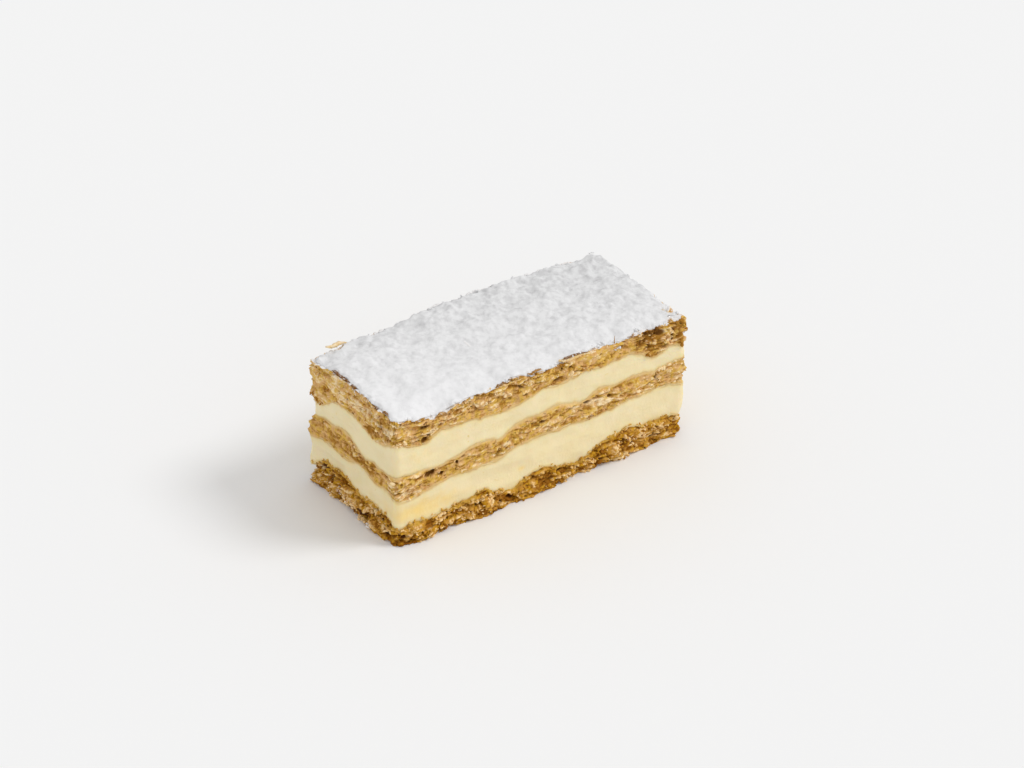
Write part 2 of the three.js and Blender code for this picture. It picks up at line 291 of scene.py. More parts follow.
def cut_cells(along, z, wide, tall, pattern):
    """Uneven plates on the cut sides, of a width and a height."""
    cell, count = round_trip(along, wide)
    return cells(cell, z / tall, pattern, count)


print("outline length in mm:", PERIMETER)

# %% [markdown]
# ## Where the layers meet
#
# Baked sheets buckle, and the cream fills the space between them, so each meeting line
# rises and falls along the cut. Straight lines would look like a machine's work. The lines
# are given as heights at even steps, as one would measure them with a ruler, and a smooth
# curve runs through them. Inside the slice they ease to one level. On top of each comes a
# fine wiggle, which pastry and cream share, because that is where crumb bites into cream.

# %% Meeting lines
FRONT_STEPS = 20
END_STEPS = 8
SHEET_LINES = {
    "base_top": {
        "front": [6, 7, 6.5, 7, 6.5, 8, 8.5, 6, 5, 8, 8.8, 6.3, 5.5, 5.8, 9, 9.5, 11, 9.5, 9, 9.3, 7.5],
        "left": [6, 9.8, 10.5, 10.5, 9.8, 8.8, 9.6, 9.3],
        "others": 8.2, "wander": 1.6, "inner": 8.0,
    },
    "middle_underside": {
        "front": [16.8, 16.3, 17.3, 18.3, 18.5, 18, 18.3, 18.3, 20.5, 20.8, 21, 20.5, 21, 20.3, 20, 20.5,
                  21.5, 21.5, 22, 21.5, 20],
        "left": [17.5, 18, 18.3, 17.6, 19, 20, 18, 18.6],
        "others": 19.5, "wander": 1.1, "inner": 19.5,
    },
    "middle_top": {
        "front": [26.5, 26.5, 25.8, 25.2, 26.3, 28, 28.5, 26.8, 29, 30.5, 30.5, 31.3, 29.5, 28.5, 31.3,
                  30.5, 31, 30.8, 29.5, 30.5, 32],
        "left": [26, 27.5, 28, 29.8, 28.5, 25.3, 26.3, 26],
        "others": 29.0, "wander": 1.5, "inner": 29.0,
    },
    "top_underside": {
        "front": [38.5, 37, 35.8, 38.5, 38, 38, 37.3, 36.7, 36.8, 37.6, 39.5, 38.6, 38.8, 40, 39.2, 39.5,
                  40, 38, 35, 37.5, 36],
        "left": [31.5, 32.3, 36.5, 38.2, 38, 36.8, 35.8, 36.3],
        "others": 38.3, "wander": 1.6, "inner": 38.0,
    },
    "top_face": {
        "front": [47.9, 46.9, 45.4, 45.2, 46, 46.7, 46.8, 46.9, 48, 47.2, 46.2, 46.2, 46.5, 47.2, 47.7,
                  47, 46.2, 47.2, 45.5, 45.7, 47.2],
        "right": [46.3, 46.8, 47.2, 48.5, 48.2, 48.2, 48],
        "back": [46.8, 48, 49.4, 49.2, 49.3, 49.8, 50, 50, 50.2, 50.5, 50.2, 50.3, 50, 48.8, 48.6, 48.2,
                 48.5, 47.9, 47.3],
        "left": [46.9, 47.7, 49, 49.5, 49.3, 49.6, 49, 48.6],
        "others": 48.7, "wander": 0.8, "inner": 48.8,
    },
}
BASE_FOOT = {
    "front": [1, 2.2, 2.4, 1.5, 1.2, 2, 2.8, 2, 1.8, 2.3, 1.8, 0.8, 0.3, 0.5, 0.8, 1.2, 0.6, 0.5, 0.6,
              0.3, 0],
    "left": [1.2, 1.8, 1.6, 1.3, 1.2, 2.6, 1.8, 0.8],
    "others": 1.0, "wander": 0.8,
}
FOOT_PATTERN = 6


def side_steps(line, start, end, count, offset, pattern):
    """Heights along a side that has no list: from corner to corner, easing to the line's
    usual height in between, with a speckle at each step."""
    step = np.arange(count - 1)
    share = (step + 1) / count
    corners = start + (end - start) * share
    drift = line["wander"] * speckle(step, offset, pattern)
    return corners + (line["others"] - corners + drift) * ease(4 * np.minimum(share, 1 - share))


def closed_line(line, pattern):
    """A closed Catmull-Rom curve through a line's steps, as a function of the distance
    along the outline."""
    front_right = line["front"][-1]
    back_left = line["left"][0]
    back_right = (front_right + back_left) / 2
    right = line.get("right", side_steps(line, front_right, back_right, END_STEPS, 1, pattern))
    back = line.get("back", side_steps(line, back_right, back_left, FRONT_STEPS, 2, pattern))
    heights = np.concatenate([line["front"], right, [back_right], back, line["left"]])
    starts = [0.0, LENGTH, BACK_START, LEFT_END_START, PERIMETER]
    steps = np.cumsum([0, FRONT_STEPS, END_STEPS, FRONT_STEPS, END_STEPS])

    def height_at(along):
        """The cubic through the two steps beside a place, with slopes from the next ones."""
        step = np.interp(np.asarray(along) % PERIMETER, starts, steps)
        k = np.floor(step).astype(int)
        t = step - k
        before, here, after, beyond = (heights[(k + n) % len(heights)] for n in (-1, 0, 1, 2))
        slope = (after - before) / 2
        next_slope = (beyond - here) / 2
        bend = 3 * (after - here) - 2 * slope - next_slope
        twist = 2 * (here - after) + slope + next_slope
        return here + t * (slope + t * (bend + t * twist))

    return height_at


edge_height = {name: closed_line(line, k + 1) for k, (name, line) in enumerate(SHEET_LINES.items())}
foot_jut = closed_line(BASE_FOOT, FOOT_PATTERN)
print("meeting lines:", ", ".join(edge_height))

# %% [markdown]
# The wiggle belongs to the cut only, so it fades inside it. The top face also swells
# towards the back and is blistered, as puff pastry is.

# %% Meeting surfaces
EDGE_REACH = 12.0  # how far in from the cut a meeting line still rises and falls
WIGGLE_SIZES = ((2.6, 0.3), (1.1, 0.24), (0.6, 0.1))  # width and height of the fine wiggles
WIGGLE_REACH = 2.5
RAGGEDNESS = {
    "base_top": 1.5, "middle_underside": 0.7, "middle_top": 0.8, "top_underside": 0.9, "top_face": 0.9,
}
BACK_RISE = 1.8
BLISTER_SIZE = 7.0
BLISTER_HEIGHT = 0.45
BLISTER_PATTERN = 9


def wiggle(name, along):
    """Three sizes of soft noise along the cut, different for each meeting line."""
    pattern = 80 + 2 * list(SHEET_LINES).index(name)
    total = 0.0
    for k, (size, height) in enumerate(WIGGLE_SIZES):
        total = total + height * cut_noise(along, 0.0, size, 1.0, pattern + k)
    return RAGGEDNESS[name] * total


def meeting(name, along, inset):
    """The line's height at the cut, easing to its inner level over EDGE_REACH."""
    inner = SHEET_LINES[name]["inner"]
    share = 1 - ease(inset / EDGE_REACH)
    fine = wiggle(name, along) * (1 - ease(inset / WIGGLE_REACH))
    return inner + (edge_height[name](along) - inner) * share + fine


def top_face(x, y, along, inset):
    """The top sheet's face: its meeting surface, a rise towards the back, and blisters."""
    rise = BACK_RISE * (y / WIDTH) * ease(inset / EDGE_REACH)
    blister = soft_noise(x / BLISTER_SIZE, y / BLISTER_SIZE, BLISTER_PATTERN)
    return meeting("top_face", along, inset) + rise + BLISTER_HEIGHT * blister


print("top face at the front left corner, mm:", round(float(top_face(-59, -25, 0.0, 0.0)), 2))

# %% [markdown]
# ## From arrays to a mesh
#
# Each layer is a stack of closed loops of points: they start in the middle of the
# underside, run out to the cut, climb it, and come in again over the top. Neighbouring
# loops are joined by quads. The two innermost loops are closed by a strip of quads that
# crosses from front to back, so there is no pole where hundreds of thin triangles meet.
# All of it is index arithmetic on whole arrays, and the mesh is filled with foreach_set.
# Masks, such as how deep a point lies, go along as attributes for the materials.

# %% Mesh functions


def make_mesh(name, points, face_groups, masks=None):
    """A mesh from points in millimetres round the cut block's middle, and from groups of
    faces. Every face of a group has the same number of corners."""
    mesh = bpy.data.meshes.new(name)
    mesh.vertices.add(len(points))
    mesh.vertices.foreach_set("co", ((points + BLOCK_MIDDLE) * MM).ravel())
    corners = np.concatenate([group.ravel() for group in face_groups])
    sizes = np.concatenate([np.full(len(group), group.shape[1]) for group in face_groups])
    mesh.loops.add(len(corners))
    mesh.loops.foreach_set("vertex_index", corners.astype(np.int32))
    mesh.polygons.add(len(sizes))
    mesh.polygons.foreach_set("loop_start", (np.cumsum(sizes) - sizes).astype(np.int32))
    for mask, values in (masks or {}).items():
        attribute = mesh.attributes.new(mask, "FLOAT", "POINT")
        attribute.data.foreach_set("value", np.asarray(values, np.float32).ravel())
    mesh.update(calc_edges=True)
    mesh.shade_smooth()
    triangles = int((sizes - 2).sum())
    print(f"{name}: {len(points)} points, {triangles} triangles")
    return mesh


def loop_faces(rows, long_count, end_count):
    """Quads of a stack of closed loops, and the two strips that close it. end_count is odd,
    so that a strip starts and ends at the middle of an end."""
    count = 2 * (long_count + end_count)
    column = np.arange(count)
    following = (column + 1) % count
    lower = (np.arange(rows - 1) * count)[:, None]
    upper = lower + count
    sides = np.stack([lower + column, lower + following, upper + following, upper + column], -1)
    half_end = (end_count - 1) // 2
    near = np.arange(-half_end, long_count + half_end)
    far = count - end_count - near
    cover = np.stack([near, near + 1, far - 1, far], -1) % count
    return [sides.reshape(-1, 4), cover[:, ::-1], cover + (rows - 1) * count]


def add_piece(mesh, material, nodes=()):
    """Shows a mesh as a piece of the slice that has the mesh's name, with its material, on the
    root body, and hides the solids of the frame that it stands for."""
    piece = bpy.data.objects.new(mesh.name, mesh)
    piece.data.materials.append(material)
    scene.collection.objects.link(piece)
    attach(piece, "root")
    if nodes:
        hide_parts(*nodes)
    return piece


# %% [markdown]
# ## Colour groups
#
# Pastry, flakes and crumbs share one way of being coloured, and so they share node groups.
# `baked_color` takes masks that the meshes carry, adds noise that no mesh could hold, and
# mixes five colours of baked dough. `powder_dust` lays sugar on what faces up. `crumb_grain`
# is a height for the Bump node. A group is built once and then used in each material with
# its own values, which is the node editor's way of writing a function. All noise reads
# Object coordinates, so it stays put when the camera moves.

# %% Node helpers


def new_group(name, inputs, outputs):
    """An empty shader node group with named sockets, given as (name, kind, value) for
    inputs and (name, kind) for outputs. Gives the group, what it takes and what it gives."""
    group = bpy.data.node_groups.new(name, "ShaderNodeTree")
    for socket, kind, value in inputs:
        made = group.interface.new_socket(socket, in_out="INPUT", socket_type=kind)
        made.default_value = value
    for socket, kind in outputs:
        group.interface.new_socket(socket, in_out="OUTPUT", socket_type=kind)
    taken = group.nodes.new("NodeGroupInput").outputs
    given = group.nodes.new("NodeGroupOutput").inputs
    return group, taken, given


def put(tree, socket, value):
    """Links an output to an input socket, or sets the socket to a plain value."""
    if isinstance(value, bpy.types.NodeSocket):
        tree.links.new(value, socket)
    else:
        socket.default_value = value


def calculate(tree, operation, *values):
    """A Math node's result for values or outputs."""
    node = tree.nodes.new("ShaderNodeMath")
    node.operation = operation
    for k, value in enumerate(values):
        put(tree, node.inputs[k], value)
    return node.outputs[0]


def step_up(tree, value, low, high):
    """A smooth step: 0 below low, 1 above high."""
    node = tree.nodes.new("ShaderNodeMapRange")
    node.interpolation_type = "SMOOTHSTEP"
    put(tree, node.inputs["Value"], value)
    put(tree, node.inputs["From Min"], low)
    put(tree, node.inputs["From Max"], high)
    return node.outputs["Result"]


def blend(tree, share, first, second):
    """A Mix node's colour: the first where share is 0, the second where it is 1."""
    node = tree.nodes.new("ShaderNodeMix")
    node.data_type = "RGBA"
    put(tree, node.inputs[0], share)
    color_a, color_b = [socket for socket in node.inputs if socket.type == "RGBA"]
    put(tree, color_a, first)
    put(tree, color_b, second)
    return [socket for socket in node.outputs if socket.type == "RGBA"][0]


def object_place(tree):
    """A point's place on the slice: its Object coordinates."""
    return tree.nodes.new("ShaderNodeTexCoord").outputs["Object"]


def split_axes(tree, vector):
    """The X, Y and Z outputs of a vector."""
    node = tree.nodes.new("ShaderNodeSeparateXYZ")
    put(tree, node.inputs[0], vector)
    return node.outputs


def noise_at(tree, scale, detail=2.0):
    """Noise from 0 to 1 on Object coordinates, with a number of bumps to the metre."""
    place = object_place(tree)
    noise = tree.nodes.new("ShaderNodeTexNoise")
    noise.inputs["Detail"].default_value = detail
    put(tree, noise.inputs["Scale"], scale)
    put(tree, noise.inputs["Vector"], place)
    return noise.outputs["Fac"]


print("node groups so far:", len(bpy.data.node_groups))

# %% The baked_color group
FLECKS_PER_METRE = 900.0
PATCHES_PER_METRE = 260.0

baked_color, taken, given = new_group(
    "baked_color",
    [
        ("Shade", "NodeSocketFloat", 0.5),
        ("Toast", "NodeSocketFloat", 0.0),
        # how much of the Dark colour a point gets: painted shade in pits, pores, cracks and gapes, and
        # the dark of the brownest crust
        ("Hollow", "NodeSocketFloat", 0.0),
        ("Brown", "NodeSocketColor", (0.4, 0.18, 0.02, 1.0)),
        ("Golden", "NodeSocketColor", (0.65, 0.38, 0.07, 1.0)),
        ("Tan", "NodeSocketColor", (0.65, 0.38, 0.13, 1.0)),
        ("Pale", "NodeSocketColor", (0.9, 0.65, 0.3, 1.0)),
        ("Dark", "NodeSocketColor", (0.15, 0.06, 0.005, 1.0)),
    ],
    [("Color", "NodeSocketColor")],
)
flecks = step_up(baked_color, noise_at(baked_color, FLECKS_PER_METRE, 3.0), 0.3, 0.7)
patches = noise_at(baked_color, PATCHES_PER_METRE)
fleck_tone = calculate(baked_color, "MULTIPLY_ADD", flecks, 0.24, -0.12)
patch_tone = calculate(baked_color, "MULTIPLY_ADD", patches, 0.5, -0.25)
tone = calculate(baked_color, "ADD", taken["Shade"], fleck_tone)
tone = calculate(baked_color, "ADD", tone, patch_tone)
tone = calculate(baked_color, "MULTIPLY_ADD", taken["Toast"], -0.5, tone)
yellow_or_tan = step_up(baked_color, noise_at(baked_color, PATCHES_PER_METRE * 1.7), 0.4, 0.6)
middle = blend(baked_color, yellow_or_tan, taken["Golden"], taken["Tan"])
low_half = blend(baked_color, step_up(baked_color, tone, -0.05, 0.42), taken["Brown"], middle)
all_tones = blend(baked_color, step_up(baked_color, tone, 0.45, 0.95), low_half, taken["Pale"])
# the Dark colour: painted shade in pits, pores, cracks and gapes, and the brownest crust
dark_share = step_up(baked_color, taken["Hollow"], 0.1, 1.0)
put(baked_color, given["Color"], blend(baked_color, dark_share, all_tones, taken["Dark"]))
print("baked_color has", len(baked_color.nodes), "nodes")

# %% The powder_dust and crumb_grain groups
DUST_PER_METRE = 1900.0

powder_dust, taken, given = new_group(
    "powder_dust",
    [
        ("Color", "NodeSocketColor", (0.6, 0.4, 0.15, 1.0)),
        ("Amount", "NodeSocketFloat", 0.0),
        ("Powder", "NodeSocketColor", (0.85, 0.83, 0.82, 1.0)),
    ],
    [("Color", "NodeSocketColor")],
)
geometry = powder_dust.nodes.new("ShaderNodeNewGeometry")
normal = split_axes(powder_dust, geometry.outputs["Normal"])
facing_up = step_up(powder_dust, normal["Z"], -0.5, 0.9)
grains = calculate(powder_dust, "MULTIPLY_ADD", noise_at(powder_dust, DUST_PER_METRE, 3.0), 1.6, -0.8)
settled = calculate(powder_dust, "MULTIPLY", facing_up, taken["Amount"])
cover = calculate(powder_dust, "ADD", calculate(powder_dust, "MULTIPLY", settled, 1.5), grains)
visible = calculate(powder_dust, "MULTIPLY", step_up(powder_dust, cover, 0.35, 0.8),
                    step_up(powder_dust, taken["Amount"], 0.0, 0.1))
put(powder_dust, given["Color"], blend(powder_dust, visible, taken["Color"], taken["Powder"]))

crumb_grain, taken, given = new_group(
    "crumb_grain",
    [
        ("Grains per metre", "NodeSocketFloat", 3000.0),
        ("Coarse share", "NodeSocketFloat", 0.5),
    ],
    [("Height", "NodeSocketFloat")],
)
fine_grain = noise_at(crumb_grain, taken["Grains per metre"], 3.0)
coarse_scale = calculate(crumb_grain, "MULTIPLY", taken["Grains per metre"], 0.35)
coarse_grain = noise_at(crumb_grain, coarse_scale)
coarse_height = calculate(crumb_grain, "MULTIPLY", coarse_grain, taken["Coarse share"])
put(crumb_grain, given["Height"], calculate(crumb_grain, "ADD", fine_grain, coarse_height))
print("powder_dust and crumb_grain are ready")

# %% [markdown]
# ## Baked pastry
#
# The middle and top sheets are golden with pale leaf edges, and the base is browner, since
# it lay on the tray. Crumb that stands out is paler, partly its own tone and partly painted
# light, and pits, pores, cracks and gapes get the darkest colour as painted shade. They are
# one recipe with different colours, so one function makes the material from the groups. The
# shader itself stays in the material. Baked dough is dry with a trace of butter, so it is
# rough with very little specular light.

# %% Pastry materials


def add_group(tree, group, **values):
    """Places a group in a material and fills its inputs. Underscores stand for spaces."""
    node = tree.nodes.new("ShaderNodeGroup")
    node.node_tree = group
    for socket, value in values.items():
        put(tree, node.inputs[socket.replace("_", " ")], value)
    return node.outputs


def mask_of(tree, name):
    """The value of an attribute that the mesh carries."""
    node = tree.nodes.new("ShaderNodeAttribute")
    node.attribute_name = name
    return node.outputs["Fac"]


def bump_from(tree, height, depth):
    """A Bump node's normal for a height, deep in metres where the height is 1."""
    node = tree.nodes.new("ShaderNodeBump")
    node.inputs["Distance"].default_value = depth
    put(tree, node.inputs["Height"], height)
    return node.outputs["Normal"]


def pastry_material(name, brown, golden, tan, pale, dark, soaked):
    """Baked dough in five colours, dusted with powder, with a fine grain. The darkest colour is
    painted shade in pits, pores, cracks and gapes, and the dark of the brownest crust. Next to
    the cream it takes on the colour of crumb that has soaked."""
    material, tree, shader = new_material(name, roughness=0.65, specular=0.15)
    baked = add_group(
        tree, baked_color, Shade=mask_of(tree, "shade"), Toast=mask_of(tree, "toast"),
        Hollow=mask_of(tree, "shade_and_dark_crust"), Brown=brown, Golden=golden, Tan=tan, Pale=pale, Dark=dark,
    )
    dusted = add_group(tree, powder_dust, Color=baked["Color"], Amount=mask_of(tree, "dust"))
    grain = add_group(tree, crumb_grain, Grains_per_metre=3200.0, Coarse_share=0.8)
    put(tree, shader["Base Color"], blend(tree, mask_of(tree, "soaked"), dusted["Color"], soaked))
    put(tree, shader["Normal"], bump_from(tree, grain["Height"], 0.00012))
    return material


golden_crust = pastry_material(
    "golden_crust",
    brown=(0.42, 0.19, 0.02, 1.0),
    golden=(0.74, 0.46, 0.085, 1.0),
    tan=(0.74, 0.44, 0.17, 1.0),
    pale=(0.98, 0.77, 0.46, 1.0),
    # dark: painted shade in pits, pores, cracks and gapes, and the brownest crust
    dark=(0.16, 0.06, 0.004, 1.0),
    soaked=(0.77, 0.54, 0.24, 1.0),
)
brown_crust = pastry_material(
    "brown_crust",
    brown=(0.29, 0.104, 0.001, 1.0),
    golden=(0.605, 0.306, 0.010, 1.0),
    tan=(0.615, 0.314, 0.05, 1.0),
    pale=(0.96, 0.695, 0.35, 1.0),
    # dark: painted shade in pits, pores, cracks and gapes, and the brownest crust
    dark=(0.09, 0.024, 0.001, 1.0),
    soaked=(0.67, 0.42, 0.08, 1.0),
)
print("pastry materials:", golden_crust.name, brown_crust.name)

# %% [markdown]
# ## Custard and sugar
#
# Custard cream is smooth and lets light in a little way, so its shadows are soft and warm.
# Subsurface scattering does that. The knife leaves it satin. Icing sugar is a dull powder:
# nearly white, with no shine, and its look comes from its lumps. Both get a slow, faint
# change of colour, because one flat colour reads as plastic. On the sugar that change is
# painted shade: grey patches for its small lumps, and greyer towards the back and the right.

# %% Custard and sugar materials


def custard_material():
    """Custard cream: two near yellows, a richer one where the `rich` mask says so, a tan
    one where crumb has stained it, rare deeper flecks, and soft light inside."""
    material, tree, shader = new_material("custard", roughness=0.42, specular=0.4)
    slow = step_up(tree, noise_at(tree, 120.0), 0.3, 0.7)
    body = blend(tree, slow, (0.875, 0.735, 0.43, 1.0), (0.91, 0.775, 0.48, 1.0))
    mottled = calculate(tree, "MULTIPLY_ADD", noise_at(tree, 300.0), 0.8, -0.4)
    rich = step_up(tree, calculate(tree, "ADD", mask_of(tree, "rich"), mottled), 0.0, 1.0)
    body = blend(tree, rich, body, (0.935, 0.69, 0.26, 1.0))
    body = blend(tree, mask_of(tree, "stained"), body, (0.79, 0.58, 0.26, 1.0))
    flecks = step_up(tree, noise_at(tree, 420.0), 0.70, 0.78)
    put(tree, shader["Base Color"], blend(tree, flecks, body, (0.84, 0.66, 0.25, 1.0)))
    grain = add_group(tree, crumb_grain, Grains_per_metre=1400.0, Coarse_share=1.5)
    put(tree, shader["Normal"], bump_from(tree, grain["Height"], 0.00008))
    shader["Subsurface Weight"].default_value = 0.35
    shader["Subsurface Radius"].default_value = (1.0, 0.7, 0.35)
    shader["Subsurface Scale"].default_value = 0.003
    return material


def sugar_material():
    """Icing sugar: white powder with faint grey patches in two sizes and a powdery grain. The
    patches are painted shade of small lumps. It is painted greyer towards the back and the
    right, as shade where the light falls off, and its patches are stronger there."""
    material, tree, shader = new_material("icing_powder", roughness=0.95, specular=0.15)
    place = split_axes(tree, object_place(tree))
    # Painted shade: the sugar is made greyer towards the back and the right, where the light falls off.
    backwards = calculate(tree, "MULTIPLY", place["Y"], 16.0)
    away = calculate(tree, "MULTIPLY_ADD", place["X"], 6.0, backwards)
    back_right_shade = step_up(tree, away, -0.75, 0.75)
    white = blend(tree, back_right_shade, (0.84, 0.835, 0.84, 1.0), (0.75, 0.75, 0.75, 1.0))
    # Grey patches in two sizes: painted shade of the sugar's small lumps, stronger towards the back
    # right.
    slow = step_up(tree, noise_at(tree, 330.0), 0.42, 0.72)
    fine = step_up(tree, noise_at(tree, 560.0), 0.48, 0.66)
    both = calculate(tree, "MULTIPLY_ADD", fine, 0.5, calculate(tree, "MULTIPLY", slow, 0.8))
    strength = calculate(tree, "MULTIPLY_ADD", back_right_shade, 0.75, 0.2)
    patch_shade = calculate(tree, "MULTIPLY", both, strength)
    white = blend(tree, patch_shade, white, (0.6, 0.595, 0.6, 1.0))
    put(tree, shader["Base Color"], white)
    grain = add_group(tree, crumb_grain, Grains_per_metre=2400.0, Coarse_share=1.0)
    put(tree, shader["Normal"], bump_from(tree, grain["Height"], 0.00013))
    return material


custard = custard_material()
icing_powder = sugar_material()
print("smooth materials:", custard.name, icing_powder.name)

# %% [markdown]
# ## How a cut through puff pastry looks
#
# Puff pastry is leaves of dough that steam has pushed apart. A knife doesn't cut them
# cleanly: leaves stick out by different amounts, chips break off, and bubbles lie open as
# dark hollows. The relief adds those up, from large to small. It starts with the large
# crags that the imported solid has, so the sheet stays in its place.

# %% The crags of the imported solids
CRAG_WIDE = PERIMETER / 67
CRAG_TALL = 2.4
CRUMB_SHARE = 0.35
SWELLINGS = [  # along, height, half width, half height, how far out
    (0, 20, 7, 11, 0.3),
    (118, 32, 10, 26, 1.2),
    (227, 45, 60, 9, 0.9),
    (286, 34, 6, 3.2, 1.9),
    (286, 18, 7, 11, 1.6),
]
HOLLOWS = [
    (8, 43.6, 4, 1.3, -1.5),
    (12, 38.2, 3, 1.6, -1.3),
    (66, 41, 3, 1.3, -1.2),
    (103, 43.5, 5, 2.2, -1.6),
    (14, 24, 6, 1.3, -1.1),
    (72, 27, 4, 1.3, -1.1),
    (32, 4.5, 4, 1.6, -1.3),
    (92, 5, 3, 2, -1.3),
    (106, 3, 4, 1.8, -1.3),
    (318, 3.2, 3.4, 2.2, -2.2),
    (302, 4.2, 3, 1.6, -1.3),
    (144, 42, 4, 1.5, -1.2),
    (196, 24.5, 5, 1.3, -1.1),
    (238, 43, 5, 1.5, -1.3),
    (262, 4, 4, 1.6, -1.3),
]


def reach_from(place, along, z):
    """The distance from a place's middle, the shorter way round, counted in its half widths
    and half heights: 1 on its outline."""
    where, height, half_wide, half_tall = place
    direct = np.abs(along - where)
    apart = np.minimum(direct, PERIMETER - direct) / half_wide
    return np.hypot(apart, (z - height) / half_tall)


def bumps(places, along, z):
    """Smooth bumps or dents: each one's height times one less its eased reach, added up."""
    total = np.zeros(np.shape(along + z))
    for *place, out in places:
        total += out * (1 - ease(reach_from(place, along, z)))
    return total


def crags(along, z, jut, rough, pattern):
    """The solid's own relief: soft noise in two sizes, with the swellings and hollows."""
    large = cut_noise(along, z, CRAG_WIDE, CRAG_TALL, pattern)
    small = cut_noise(along, z, CRAG_WIDE / 2, CRAG_TALL / 2, pattern + 20)
    relief = rough * ((1 - CRUMB_SHARE) * large + CRUMB_SHARE * small)
    return jut + relief + bumps(SWELLINGS, along, z) + bumps(HOLLOWS, along, z)


print("swellings and hollows:", len(SWELLINGS), len(HOLLOWS))

# %% [markdown]
# The finer relief is new. It starts with the small pits that the eye notices, where a
# bubble lies open or a chip has fallen out. They are listed one by one, and noise makes
# their outlines ragged.

# %% Pits placed one by one
PIT_RAGGED = 0.35  # share by which a pit's outline wavers
PIT_FLOOR = 0.35  # share of a pit's half size that lies at full depth
PIT_WALL = 0.75  # share over which its wall rises
PITS = [  # along, height, half width, half height, how deep
    (11.4, 37.4, 1.6, 0.8, 1.2),
    (13, 38.8, 1.3, 0.7, 1),
    (11.5, 42.6, 2.6, 0.7, 1),
    (64.9, 41.1, 1.9, 0.9, 1.3),
    (51.8, 40.4, 1.4, 0.7, 0.9),
    (45.7, 41, 1.1, 0.8, 0.8),
    (101.3, 46, 1.9, 1.1, 2),
    (105.6, 44.3, 1, 0.8, 1.5),
    (108.2, 44.4, 2.3, 1.1, 2),
    (103, 40.6, 1.6, 0.8, 1.6),
    (99.7, 42.6, 1.5, 0.9, 1.6),
    (113.3, 42, 0.7, 3, 1.5),
    (13.5, 23.2, 2.4, 0.8, 1.5),
    (17.5, 21.9, 1.8, 0.8, 1.5),
    (8.8, 23.7, 1.6, 0.6, 0.9),
    (24.3, 24, 0.7, 1, 1.1),
    (24.3, 21.4, 0.8, 0.7, 1),
    (59.2, 26.9, 2.2, 0.9, 1.2),
    (71.7, 27.5, 2, 0.7, 1.3),
    (77.9, 27.3, 1.8, 0.6, 1.2),
    (107, 27.3, 0.7, 1.7, 0.9),
    (87.2, 26.6, 1.6, 0.6, 1.1),
    (2.7, 3.1, 1.4, 0.6, 1),
    (5.2, 1, 2, 0.5, 1),
    (10.7, 2.9, 1.2, 0.6, 1),
    (32.2, 4.8, 2.1, 0.7, 1.4),
    (45.4, 2.6, 1.5, 0.8, 1.3),
    (55.5, 5.6, 1.2, 0.6, 1),
    (60.4, 3.1, 1.9, 0.7, 1.1),
    (65.6, 5, 1.7, 0.7, 1.2),
    (76.5, 2.3, 1.5, 0.5, 1),
    (82.4, 3, 1.9, 0.6, 1.2),
    (92.6, 6.4, 1.6, 0.8, 1.3),
    (96.6, 4.2, 1.2, 0.8, 1),
    (105.2, 4, 1.4, 0.8, 1.2),
    (108.4, 3.4, 1.6, 0.7, 1.2),
    (112.7, 2.7, 1.3, 0.6, 1.1),
    (317.6, 3.5, 3.6, 2.3, 1),
    (288.6, 3.8, 1.4, 1.2, 1.1),
    (293.6, 9, 1.6, 1, 1.2),
    (297, 6.6, 1.2, 0.8, 1),
    (303.6, 7.2, 2, 0.9, 1.3),
    (328, 6.4, 1.4, 1, 1),
    (330.7, 1.8, 1.8, 0.7, 1.1),
]


def pits_at(along, z, pattern):
    """How deep the listed pits lie at a point, with ragged outlines: the distance
    from a pit's middle is stretched by noise before it is eased."""
    ragged = 1 + PIT_RAGGED * cut_noise(along, z, 0.9, 0.7, pattern + 75)
    depth = np.zeros(np.shape(along + z))
    for *place, deep in PITS:
        reach = reach_from(place, along, z) * ragged
        depth = np.maximum(depth, deep * (1 - ease((reach - PIT_FLOOR) / PIT_WALL)))
    return depth


print("hand-placed pits:", len(PITS))

# %% [markdown]
# The rest of the relief covers a whole side. The height is first bent by slow noise, so that
# leaves rise and dip. Whole steps of that bent height count the leaves, each leaf juts by its
# own noise, and here and there two of them gape, which leaves a dark stroke along the cut: a
# shallow groove with painted shade in it. Cracks and pores get painted shade too, and what
# stands out gets a lighter shade, partly its own tone and partly painted light.
# Broken crumb is uneven plates in three sizes, parted by cracks. Pores are the tops of a
# noise, sunk. Lumps of crumb swell softly, and a few broad touches are placed one by one.

# %% The finer relief
LEAF_THICKNESS = 1.1
LEAF_JUT = 0.34
SEAM_DEPTH = 0.22
SEAM_HALF = 0.2  # half a seam's height, as a share of a leaf
GAPE_DEPTH = 0.5  # how much deeper a seam is where its two leaves gape
GAPE_HALF = 0.26
FLAKE_PLATE = (3.4, 1.35)  # width and height of large plates
CHIP_PLATE = (1.35, 0.75)
CRUMB_PLATE = (0.62, 0.5)
FLAKE_JUT = 0.34  # how far plates of each size stand out
CHIP_JUT = 0.18
CRUMB_JUT = 0.06
PLATE_TILT = 1.008  # how far a plate's own slope lifts it, as a share of its jut
CRACK_DEPTH = 0.24
CRACK_HALF = 0.2
PORE_WIDE = 2.3
PORE_TALL = 0.95
PORE_DEPTH = 1.25
PORE_LEVEL = 0.95  # noise above this, less a sheet's own pores value, is a pore
PORE_EDGE = 0.4
